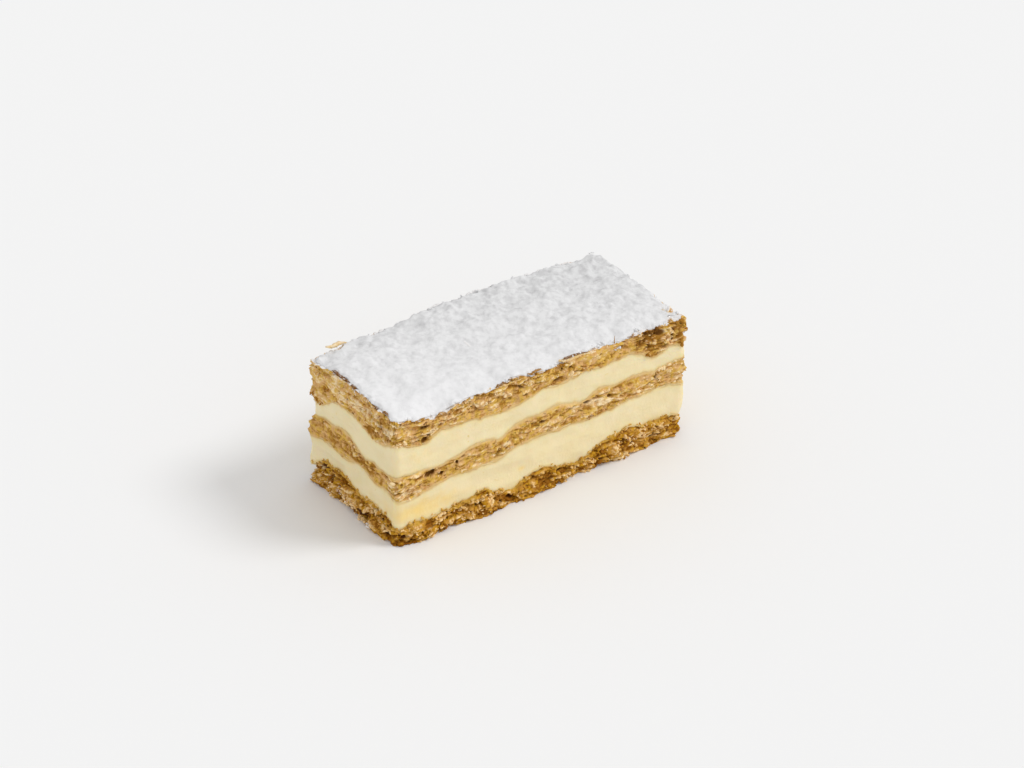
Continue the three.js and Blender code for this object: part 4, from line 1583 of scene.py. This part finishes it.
# %% [markdown]
# ## Flakes
#
# What makes the cut look crisp is loose leaf edges: thin plates, up to four millimetres
# across, that stick out, droop or curl. A hair system could scatter them, but the export
# drops instances. So every flake is a small closed plate from one grid, and a whole piece
# of them is made at once: arrays with one row for each flake and one column for each point
# of the grid. Each flake has few faces, as there are hundreds.

# %% Plates from arrays
PLATE_ACROSS = 5  # points across a flake
PLATE_OUT = 4  # points from its root to its tip
RAGGED_WIDTH = 0.25  # share by which a flake's width varies on its way out
RAGGED_TIP = 0.16
ROUND_TIP = 0.5
TIP_TAPER = 0.35  # share of its width, and of its thickness, that it loses at the tip
TIP_THINNING = 0.55
FLAKE_WAVE = 0.12
BURIED = 0.4  # how deep a flake is rooted in the crumb


def plate_faces(across, out):
    """Faces of one closed plate: its upper grid, its lower one, and the rim."""
    count = across * out
    upper = grid_faces(0, across - 1, out - 1)
    rim = grid_rim(0, across - 1, out - 1)
    following = np.roll(rim, -1)
    wall = np.stack([rim + count, following + count, following, rim], -1)
    return np.concatenate([upper, upper[:, ::-1] + count, wall])


def cut_frame(along, z, out):
    """Where points of the cut lie in space, with the ways outwards and along the cut there."""
    across, deep = walk_at(along)
    x, y = plan_point(across, deep, -out)
    far_x, far_y = plan_point(across, deep, -out - 1.0)
    place = np.stack([x, y, z], -1)
    outwards = np.stack([far_x - x, far_y - y, np.zeros_like(x)], -1)
    outwards = outwards / np.linalg.norm(outwards, axis=-1, keepdims=True)
    sideways = np.stack([-outwards[:, 1], outwards[:, 0], np.zeros_like(x)], -1)
    return place, outwards, sideways


def plates(place, outwards, sideways, flakes, draw):
    """Points of all flakes: across the cut by the half width, outwards by the length, and
    up by tilt and curl. The outline is ragged, and the tip is thinner than the root."""
    count = len(place)
    a = np.linspace(-1, 1, PLATE_ACROSS)[None, :, None]
    b = np.linspace(0, 1, PLATE_OUT)[None, None, :]
    ragged_width = 1 + RAGGED_WIDTH * draw.uniform(-1, 1, (count, 1, PLATE_OUT))
    ragged_tip = RAGGED_TIP * draw.uniform(-1, 1, (count, PLATE_ACROSS, 1))
    get = {name: values[:, None, None] for name, values in flakes.items()}
    side = a * get["half_width"] * ragged_width * (1 - TIP_TAPER * b ** 2)
    reach = b * get["length"] * (1 - ROUND_TIP * a ** 2 + ragged_tip) - BURIED
    wave = FLAKE_WAVE * draw.uniform(-1, 1, (count, PLATE_ACROSS, PLATE_OUT))
    lift = get["tilt"] * reach + get["curl"] * (a ** 2 - 0.3) + get["lean"] * side + wave
    half_thick = get["thickness"] / 2 * (1 - TIP_THINNING * b)
    up = np.array([0.0, 0.0, 1.0])
    center = (
        place[:, None, None, :]
        + side[..., None] * sideways[:, None, None, :]
        + reach[..., None] * outwards[:, None, None, :]
        + lift[..., None] * up
    )
    upper = center + half_thick[..., None] * up
    lower = center - half_thick[..., None] * up
    both = np.stack([upper, lower], 1)
    return both.reshape(count, -1, 3)


def repeat_faces(faces, count, points_each):
    """The faces of one small shape, repeated for every copy of it."""
    starts = (np.arange(count) * points_each)[:, None, None]
    return (faces + starts).reshape(-1, faces.shape[1])


print("faces of one flake:", len(plate_faces(PLATE_ACROSS, PLATE_OUT)))

# %% [markdown]
# The flakes grow from the sheets' own surface: a random place on the grid of a side gives
# the distance along the cut, the height, and how far the relief stands out there. Crumbly
# zones get most of them. Sizes follow a log-normal draw, many small and few large, which is
# how pastry breaks.

# %% Scatter flakes on the sheets
FLAKE_SEED = 7
RIM_OVERSHOOT = 0.1  # how far a flake or a crumb may rise over its sheet's upper edge
COVERED_OVERSHOOT = -1.1  # the same where the sugar reaches the rim and hides them
LOWEST_FLAKE = 0.15
SCATTER_SHARES = (0.03, 0.97)  # of a side's height, between which flakes and crumbs lie
ALONG_COLUMNS = outline_walk(LONG_COLUMNS, END_COLUMNS)[0]


def scatter(surface, count, draw):
    """Random places on a sheet's side: along, height, how far out the surface is, how
    soaked and of which shade, the sheet's painted light and shade included. Dry, crumbly and
    standing places get more."""
    rows, columns = surface["z"].shape
    tries = 4 * count
    row = (draw.uniform(*SCATTER_SHARES, tries) * (rows - 1)).astype(int)
    column = draw.integers(0, columns, tries)
    kept = np.flatnonzero(draw.uniform(0, 1, tries) < surface["loose"][row, column])[:count]
    place = (row[kept], column[kept])
    found = [surface[what][place] for what in ("z", "out", "soaked", "shade")]
    return ALONG_COLUMNS[place[1]], *found


def column_at(along):
    """The column of a sheet's grid beside any distances along the outline."""
    return np.searchsorted(ALONG_COLUMNS, along % PERIMETER) % len(ALONG_COLUMNS)


def surface_out(surface, along, z):
    """How far out a sheet's side stands at any places: that of the nearest grid point."""
    column = column_at(along)
    rows = surface["z"].shape[0]
    low = surface["low"][column]
    high = surface["high"][column]
    row = np.clip(np.rint((z - low) / (high - low) * (rows - 1)), 0, rows - 1).astype(int)
    return surface["out"][row, column]


def highest_bit(surface, along):
    """How high a flake or a crumb may reach on a sheet's side."""
    covered = (along > COVERED_SIDES[0]) & (along < COVERED_SIDES[1])
    return surface["high"][column_at(along)] + np.where(covered, COVERED_OVERSHOOT, RIM_OVERSHOOT)


def flake_sizes(count, draw):
    """Random sizes of flakes, in millimetres, and their slopes."""
    return {
        "half_width": np.clip(0.6 * draw.lognormal(0, 0.45, count), 0.25, 1.8),
        "length": np.clip(0.45 * draw.lognormal(0, 0.3, count), 0.25, 0.7) + BURIED,
        "thickness": draw.uniform(0.16, 0.34, count),
        "tilt": draw.normal(-0.12, 0.3, count),
        "curl": draw.normal(0.05, 0.14, count),
        "lean": draw.normal(0, 0.16, count),
    }


def masks_for(named, each):
    """Masks with the same value at every point of a small shape."""
    return {mask: np.repeat(values[:, None], each, axis=1) for mask, values in named.items()}


def flake_piece(name, surface_counts, seed):
    """One mesh of flakes on one or more sheets, with masks that vary from flake to flake."""
    draw = np.random.default_rng(seed)
    places = [scatter(surface, count, draw) for surface, count in surface_counts]
    highest = [highest_bit(surface, place[0]) for (surface, _), place in zip(surface_counts, places)]
    along, z, out, soaked, shade = (np.concatenate(values) for values in zip(*places))
    count = len(along)
    sizes = flake_sizes(count, draw)
    points = plates(*cut_frame(along, z, out), sizes, draw)
    points[..., 2] = np.clip(points[..., 2], LOWEST_FLAKE, np.concatenate(highest)[:, None])
    each = points.shape[1]
    faces = repeat_faces(plate_faces(PLATE_ACROSS, PLATE_OUT), count, each)
    toast = draw.uniform(-0.25, 0.45, count) + patches_at(BROWNER_PLACES, along, z)
    named = {
        "shade": np.clip(shade + draw.normal(0.12, 0.17, count), 0, 1), "toast": toast,
        "shade_and_dark_crust": np.zeros(count), "dust": patches_at(DUSTED_PLACES, along, z),
        "soaked": 0.8 * soaked,
    }
    return make_mesh(name, points.reshape(-1, 3), [faces], masks_for(named, each))


golden_sides = [(top_surface, 360), (middle_surface, 180)]
brown_sides = [(base_surface, 280)]
add_piece(flake_piece("golden_flakes", golden_sides, FLAKE_SEED), golden_crust)
add_piece(flake_piece("brown_flakes", brown_sides, FLAKE_SEED + 1), brown_crust)

# %% [markdown]
# ## Crumbs
#
# Where leaves have broken up, the cut is covered in crumbs: rounded, uneven grains that
# catch the light one by one. Each starts as a ball of 80 triangles. Its radius swells and
# shrinks with three waves that cross it in random directions, it is made long and flat,
# turned, and sunk partway into the sheet. A particle system would need the same few
# numbers, but its instances are lost in the export, and arrays give each crumb a shape of
# its own.

# %% Pebbles from arrays
BALL_DETAIL = 2
WAVES = ((2.4, 0.25), (4.4, 0.16), (6.3, 0.08))  # how fast a wave crosses a ball, and its height
LONG_AXIS = (0.9, 1.35)
MIDDLE_AXIS = (0.6, 1.0)
SHORT_AXIS = (0.3, 0.65)


def ball(detail):
    """Points and triangles of a ball with radius 1, made of nearly equal triangles."""
    mold = bmesh.new()
    bmesh.ops.create_icosphere(mold, subdivisions=detail, radius=1.0)
    template = bpy.data.meshes.new("ball")
    mold.to_mesh(template)
    mold.free()
    points = np.empty(3 * len(template.vertices))
    template.vertices.foreach_get("co", points)
    corners = np.empty(len(template.loops), np.int32)
    template.loops.foreach_get("vertex_index", corners)
    bpy.data.meshes.remove(template)
    return points.reshape(-1, 3), corners.reshape(-1, 3)


BALL_POINTS, BALL_FACES = ball(BALL_DETAIL)


def unit_vectors(count, draw):
    """Random directions, all equally likely."""
    ways = draw.normal(0, 1, (count, 3))
    return ways / np.linalg.norm(ways, axis=1, keepdims=True)


def random_turns(count, draw):
    """Random rotation matrices: orthonormal ones, with one axis flipped where they would
    mirror."""
    turns, _ = np.linalg.qr(draw.normal(0, 1, (count, 3, 3)))
    turns[:, :, 0] *= np.sign(np.linalg.det(turns))[:, None]
    return turns


def pebbles(place, size, stretch_z, draw):
    """Points of uneven pebbles at places, each with its size and a stretch along z."""
    count = len(place)
    radius = np.ones((count, len(BALL_POINTS)))
    for pace, high in WAVES:
        across = BALL_POINTS @ unit_vectors(count, draw).T
        radius += high * np.sin(pace * across.T + draw.uniform(0, 2 * math.pi, (count, 1)))
    axes = [draw.uniform(*axis, count) for axis in (LONG_AXIS, MIDDLE_AXIS, SHORT_AXIS)]
    stretch = size[:, None] * np.stack(axes, -1)
    shape = BALL_POINTS * radius[..., None] * stretch[:, None, :]
    shape = np.einsum("nij,nkj->nki", random_turns(count, draw), shape)
    shape[..., 2] *= stretch_z
    return shape + place[:, None, :]


print("points and triangles of a ball:", len(BALL_POINTS), len(BALL_FACES))

# %% [markdown]
# The crumbs that catch the eye are placed one by one. They lie in small clusters, where one
# flake has broken up, and each cluster has its own size and colour.

# %% Clusters of crumbs
# Clusters with a toast over 1 fill pits at the top right and on the left end: their dark is painted
# shade.
CRUMB_CLUSTERS = {
    "top_sheet": [  # along, height, spread along, spread up, how many, size, shade, toast
        (101.5, 46.3, 1.1, 0.5, 6, 1, 0.2, 1.4),
        (107.8, 44.2, 1.4, 0.7, 6, 1, 0.2, 1.4),
        (99.8, 42.8, 0.8, 0.6, 4, 0.9, 0.2, 1.2),
        (103.8, 45.4, 0.8, 0.5, 5, 0.8, 0.8, 0.1),
        (104.9, 42.2, 2.4, 0.9, 9, 0.75, 0.75, 0.2),
        (110.6, 40.4, 1.4, 1.2, 7, 0.8, 0.7, 0.3),
        (101, 44, 1, 0.8, 5, 0.8, 0.5, 0.4),
        (104, 37.6, 1.2, 0.5, 9, 1, 0.4, 0.55),
        (115.4, 44, 0.9, 2.6, 12, 0.9, 0.45, 0.85),
        (2.1, 38.4, 1.2, 0.8, 9, 0.6, 1, -0.4),
        (66.9, 47, 0.7, 0.6, 6, 0.6, 0.2, 0.9),
        (287, 33.8, 1.2, 0.9, 6, 0.75, 0.3, 0.7),
        (290.2, 33.2, 1, 0.6, 6, 0.7, 0.3, 0.7),
        (294.4, 40.2, 1, 0.8, 6, 0.7, 0.35, 0.7),
    ],
    "middle_sheet": [
        (111, 29, 2.6, 1.6, 22, 0.65, 0.85, 0),
        (107.3, 27.5, 0.4, 1.4, 8, 0.4, 0.1, 0.8),
    ],
    "base_sheet": [
        (37.5, 6.4, 1.6, 0.8, 14, 0.7, 0.7, 0),
        (27, 3, 5, 1.2, 30, 0.6, 0.75, 0),
        (97, 6.5, 5, 1.8, 44, 0.7, 0.8, 0),
        (90, 3, 4, 1.4, 18, 0.6, 0.7, 0.1),
        (92.6, 6, 1.8, 1, 16, 0.6, 0.3, 0.6),
        (6, 5, 5, 1.6, 26, 0.6, 0.65, 0),
        (317.7, 3.4, 1.1, 0.7, 20, 0.8, 0.1, 1.8),
        (321.2, 0.7, 0.45, 0.15, 5, 0.85, 1, -0.3),
        (304, 2.8, 6, 1.3, 50, 0.65, 0.95, 0),
        (291, 6.5, 3.5, 1.4, 22, 0.6, 0.3, 0.8),
    ],
}


def cluster_places(clusters, surface, draw):
    """Places, sizes and masks of the crumbs in listed clusters on a sheet's side. They keep
    their own colour, and the brownest ones are as dark as a pit. No pale one lies in a
    placed pit."""
    counts = [cluster[4] for cluster in clusters]
    many = np.repeat(np.array(clusters, float), counts, axis=0)
    where, height, wide, tall, _, size, shade, toast = many.T
    count = len(many)
    along = (where + wide * draw.normal(0, 1, count)) % PERIMETER
    column = column_at(along)
    size = size * draw.uniform(0.55, 1.2, count)
    z = height + tall * draw.normal(0, 1, count)
    z = np.clip(z, surface["low"][column] + 0.2, surface["high"][column] + RIM_OVERSHOOT - 0.5 * size)
    shade = shade + 0.12 * draw.normal(0, 1, count)
    # The brownest crumbs get the Dark colour too: the dark of brown crust, and painted shade where they
    # fill a pit.
    shade_and_dark_crust = np.clip(1.2 * (toast - 0.7), 0, 0.9)
    found = (along, z, surface_out(surface, along, z), size, shade, toast, shade_and_dark_crust, np.zeros(count))
    kept = (pits_at(along, z, 0) < 0.5) | (toast > 1)
    return [values[kept] for values in found]


print("clusters of crumbs:", sum(map(len, CRUMB_CLUSTERS.values())))

# %% [markdown]
# Most crumbs are scattered like the flakes. More of them lie on the line where the base
# meets the cream, because that is where the knife broke the edge. All of them are joined
# into two pieces, one for each crust's material.

# %% Crumbs on the cut
CRUMB_SEED = 20
SINK = 0.3  # a crumb's middle stands this share of its size out of the surface
FLATTENED = 0.8


def scattered_places(surface, count, size, toast, draw):
    """Places, sizes and masks of crumbs all over a sheet's side."""
    along, z, out, soaked, shade = scatter(surface, count, draw)
    sizes = np.clip(size * draw.lognormal(0, 0.35, len(along)), 0.16, 1.3)
    z = np.minimum(z, highest_bit(surface, along) - 0.5 * sizes)
    shade = shade + draw.normal(0.08, 0.2, len(along))
    toast = toast + 0.2 * draw.normal(0, 1, len(along)) + patches_at(BROWNER_PLACES, along, z)
    return along, z, out, sizes, shade, toast, np.zeros(len(along)), 0.9 * soaked


def border_places(surface, count, size, draw):
    """Crumbs on the line where a sheet's upper edge meets the cream, some of them up on it."""
    along = draw.uniform(0, PERIMETER, count)
    along = along[worn_corners(along) > 0.5]
    count = len(along)
    above = draw.normal(0.1, 0.4, count)
    z = surface["high"][column_at(along)] + above
    on_cream = -cream_inset(along, z, LOWER_CREAM)
    out = np.where(above > 0, on_cream, surface_out(surface, along, z))
    sizes = np.clip(size * draw.lognormal(0, 0.35, count), 0.16, 0.9)
    shade = draw.normal(0.55, 0.25, count)
    toast = draw.uniform(-0.2, 0.4, count)
    return along, z, out, sizes, shade, toast, np.zeros(count), draw.uniform(0.1, 0.8, count)


def crumb_piece(name, groups, seed):
    """One mesh of crumbs from groups of places, with masks that vary from crumb to crumb."""
    draw = np.random.default_rng(seed)
    joined = (np.concatenate(values) for values in zip(*groups(draw)))
    along, z, out, size, shade, toast, shade_and_dark_crust, soaked = joined
    place, outwards, _ = cut_frame(along, z, out)
    place = place + (SINK * size)[:, None] * outwards
    points = pebbles(place, size, FLATTENED, draw)
    points[..., 2] = np.maximum(points[..., 2], LOWEST_FLAKE)
    each = points.shape[1]
    named = {
        "shade": np.clip(shade, 0, 1), "toast": toast, "shade_and_dark_crust": shade_and_dark_crust,
        "dust": patches_at(DUSTED_PLACES, along, z), "soaked": soaked,
    }
    faces = repeat_faces(BALL_FACES, len(along), each)
    return make_mesh(name, points.reshape(-1, 3), [faces], masks_for(named, each))


def golden_groups(draw):
    """The crumbs of the top and middle sheets."""
    return [
        scattered_places(top_surface, 460, 0.42, 0.05, draw),
        scattered_places(middle_surface, 260, 0.4, 0.05, draw),
        cluster_places(CRUMB_CLUSTERS["top_sheet"], top_surface, draw),
        cluster_places(CRUMB_CLUSTERS["middle_sheet"], middle_surface, draw),
    ]


def brown_groups(draw):
    """The crumbs of the base sheet."""
    return [
        scattered_places(base_surface, 330, 0.62, 0.15, draw),
        scattered_places(base_surface, 700, 0.42, 0.15, draw),
        border_places(base_surface, 260, 0.44, draw),
        cluster_places(CRUMB_CLUSTERS["base_sheet"], base_surface, draw),
    ]


add_piece(crumb_piece("golden_crumbs", golden_groups, CRUMB_SEED), golden_crust)
add_piece(crumb_piece("brown_crumbs", brown_groups, CRUMB_SEED + 1), brown_crust)

# %% [markdown]
# ## Leaf edges
#
# Under the sugar's rim a few leaves show as thin dark lines, several millimetres long, and
# two of them lie on a thicker golden one. Their dark is partly the leaves' own brown and
# partly painted shade under the rim. Each is a ribbon along the cut with four corners at
# every station. Its outer edge is ragged and lifts a little, and it tapers at both ends.

# %% Ribbons along the cut
RIBBON_STATIONS = 48
RIBBON_ROOT = 0.8  # how deep a ribbon is rooted in the sheet
RIBBON_TAPER = 0.15  # share of its length over which each of its ends tapers
RIBBON_WAVE = 0.22
# The last column says how dark a ribbon is: partly the leaf's brown, partly painted shade under the
# sugar's rim.
LEAF_EDGES = [  # from, to, height at each, reach, thickness, lift, shade, toast, hollow
    (37.0, 50.5, 46.8, 47.3, 0.15, 1.00, 0.00, 0.7, 0.1, 0.0),
    (40.0, 50.0, 47.4, 47.9, 0.35, 0.24, 0.05, 0.2, 0.9, 0.6),
    (66.5, 80.5, 47.5, 46.6, 0.15, 1.50, 0.00, 0.8, 0.1, 0.0),
    (67.8, 78.6, 48.4, 47.4, 0.35, 0.26, 0.05, 0.2, 0.9, 0.75),
    (53.0, 58.5, 47.5, 47.8, 0.35, 0.20, 0.05, 0.3, 0.8, 0.3),
    (95.0, 100.5, 46.6, 46.4, 0.50, 0.28, 0.15, 0.2, 0.9, 0.6),
    (299.0, 309.0, 49.6, 49.6, 0.40, 0.34, 0.05, 0.2, 0.9, 0.9),
    (310.0, 313.0, 49.5, 49.5, 0.45, 0.40, 0.05, 0.2, 0.9, 0.8),
    (321.0, 326.5, 49.3, 49.0, 0.40, 0.30, 0.05, 0.2, 0.9, 0.8),
    (329.0, 332.0, 48.7, 48.5, 0.40, 0.30, 0.05, 0.2, 0.9, 0.7),
    (273.6, 280.6, 49.9, 49.7, 1.00, 0.75, 0.05, 0.8, 0.0, 0.0),
    (3.0, 12.0, 46.6, 45.6, 0.45, 0.28, 0.05, 0.3, 0.5, 0.3),
    (16.0, 24.0, 44.9, 45.5, 0.45, 0.28, 0.05, 0.4, 0.5, 0.3),
]


def ribbon_faces(stations):
    """Faces of one closed ribbon with four corners at each station."""
    station = np.arange(stations - 1)[:, None]
    corner = np.arange(4)
    following = (corner + 1) % 4
    here = 4 * station
    there = here + 4
    sides = np.stack([here + corner, here + following, there + following, there + corner], -1)
    last = 4 * (stations - 1)
    ends = np.array([[3, 2, 1, 0], [last, last + 1, last + 2, last + 3]])
    return np.concatenate([sides.reshape(-1, 4), ends])


def ribbon_piece(name, ribbons, surface):
    """One mesh of ribbons on a sheet's side: arrays of ribbons, stations and corners."""
    values = np.array(ribbons, float)[:, None, :]
    first, last, z_first, z_last, reach, thick, lift, shade, toast, shade_and_dark_crust = np.moveaxis(values, -1, 0)
    share = np.linspace(0, 1, RIBBON_STATIONS)[None, :]
    along = first + (last - first) * share
    taper = ease(np.minimum(share, 1 - share) / RIBBON_TAPER)
    ragged = 0.7 * cut_noise(along, 3 * thick, 2.6, 1.0, 141) + 0.2 * cut_noise(along, 0, 0.8, 1.0, 142)
    straight = z_first + (z_last - z_first) * share
    out = surface_out(surface, along, straight)
    tip = out + reach * taper * (0.75 + 0.5 * ragged)
    z = straight + RIBBON_WAVE * cut_noise(along, 1.0, 1.8, 1.0, 143)
    half = thick / 2 * (0.35 + 0.65 * taper)
    across, deep = walk_at(along)
    root_x, root_y = plan_point(across, deep, RIBBON_ROOT - out)
    tip_x, tip_y = plan_point(across, deep, -tip)
    tip_z = z + lift * taper * (1 + ragged)
    corners = [
        (root_x, root_y, z + half), (root_x, root_y, z - half),
        (tip_x, tip_y, tip_z - 0.6 * half), (tip_x, tip_y, tip_z + 0.6 * half),
    ]
    points = np.stack([np.stack(corner, -1) for corner in corners], 2)
    count = len(ribbons)
    each = 4 * RIBBON_STATIONS
    points = points.reshape(count, each, 3)
    faces = repeat_faces(ribbon_faces(RIBBON_STATIONS), count, each)
    dust = np.full_like(shade, 0.25)
    named = {"shade": shade[:, 0], "toast": toast[:, 0], "shade_and_dark_crust": shade_and_dark_crust[:, 0], "dust": dust[:, 0]}
    return make_mesh(name, points.reshape(-1, 3), [faces], masks_for(named, each))


add_piece(ribbon_piece("leaf_edges", LEAF_EDGES, top_surface), golden_crust)

# %% [markdown]
# ## Loose sugar and crumbs on top
#
# Sieved sugar also falls in small clumps, and they make its rim lumpy. They are the same
# pebbles, squashed and sunk into the powder. A broken crumb, dusted with powder, lies on
# the sugar near the front right corner, and at the front rim one thin fibre of a leaf
# stands upright.

# %% Sugar clumps
SUGAR_SEED = 33
RIM_CLUMPS = 170
CLUMP_SIZE = 0.5
SQUASHED = 0.6
WHITE_BITS = [  # along, height
    (89.2, 44.9), (88.6, 44.6), (89.9, 45.1), (90.4, 44.7), (71.0, 48.4), (74.5, 48.3),
]
STANDING_BITS = [  # x, y, z
    (55.6, 23.9, 49.9), (56.3, 23.8, 50.1), (57.0, 23.6, 49.8), (57.7, 20.2, 49.7), (57.9, 20.8, 49.6),
]


def sugar_clumps():
    """Clumps along the sugar's rim, a few on the cut, and a few that stand at a corner."""
    draw = np.random.default_rng(SUGAR_SEED)
    along = draw.uniform(0, PERIMETER, RIM_CLUMPS)
    across, deep = walk_at(along)
    inwards = sugar_setback(along) + draw.uniform(-0.15, 0.9, RIM_CLUMPS)
    x, y = plan_point(across, deep, inwards)
    z = top_face(x, y, along, np.maximum(inwards, 0)) + draw.uniform(0.1, 0.6, RIM_CLUMPS)
    rim = np.stack([x, y, z], -1)
    along, z = np.array(WHITE_BITS).T
    bits, _, _ = cut_frame(along, z, surface_out(top_surface, along, z) + 0.4)
    standing = np.array(STANDING_BITS)
    place = np.concatenate([rim, bits, standing])
    size = np.clip(CLUMP_SIZE * draw.lognormal(0, 0.35, len(place)), 0.2, 1.1)
    points = pebbles(place, size, SQUASHED, draw)
    faces = repeat_faces(BALL_FACES, len(place), points.shape[1])
    return make_mesh("sugar_clumps", points.reshape(-1, 3), [faces])


add_piece(sugar_clumps(), icing_powder)

# %% Crumbs on the sugar
TOP_CRUMBS = [  # x, y, size, how upright, shade, toast, dust
    (56.2, -19.9, 1.3, 1.3, 0.8, 0.1, 0.55),
    (55.4, -19.2, 0.9, 1.2, 0.95, -0.1, 0.6),
    (56.9, -20.5, 0.9, 1.2, 0.5, 0.5, 0.35),
    (30.0, -24.5, 0.18, 14.0, 0.1, 1.2, 0.1),
]


def top_crumbs():
    """The crumbs that lie on the sugar, placed one by one."""
    x, y, size, upright, shade, toast, dust = np.array(TOP_CRUMBS).T
    ground = sugar_height(x, y, np.full(np.shape(x), SUGAR_SHOULDER))
    place = np.stack([x, y, ground + 0.3 * size], -1)
    draw = np.random.default_rng(SUGAR_SEED + 1)
    points = pebbles(place, size, upright[:, None], draw)
    each = points.shape[1]
    named = {"shade": shade, "toast": toast, "shade_and_dark_crust": np.zeros_like(shade), "dust": dust}
    faces = repeat_faces(BALL_FACES, len(place), each)
    return make_mesh("top_crumbs", points.reshape(-1, 3), [faces], masks_for(named, each))


add_piece(top_crumbs(), golden_crust)
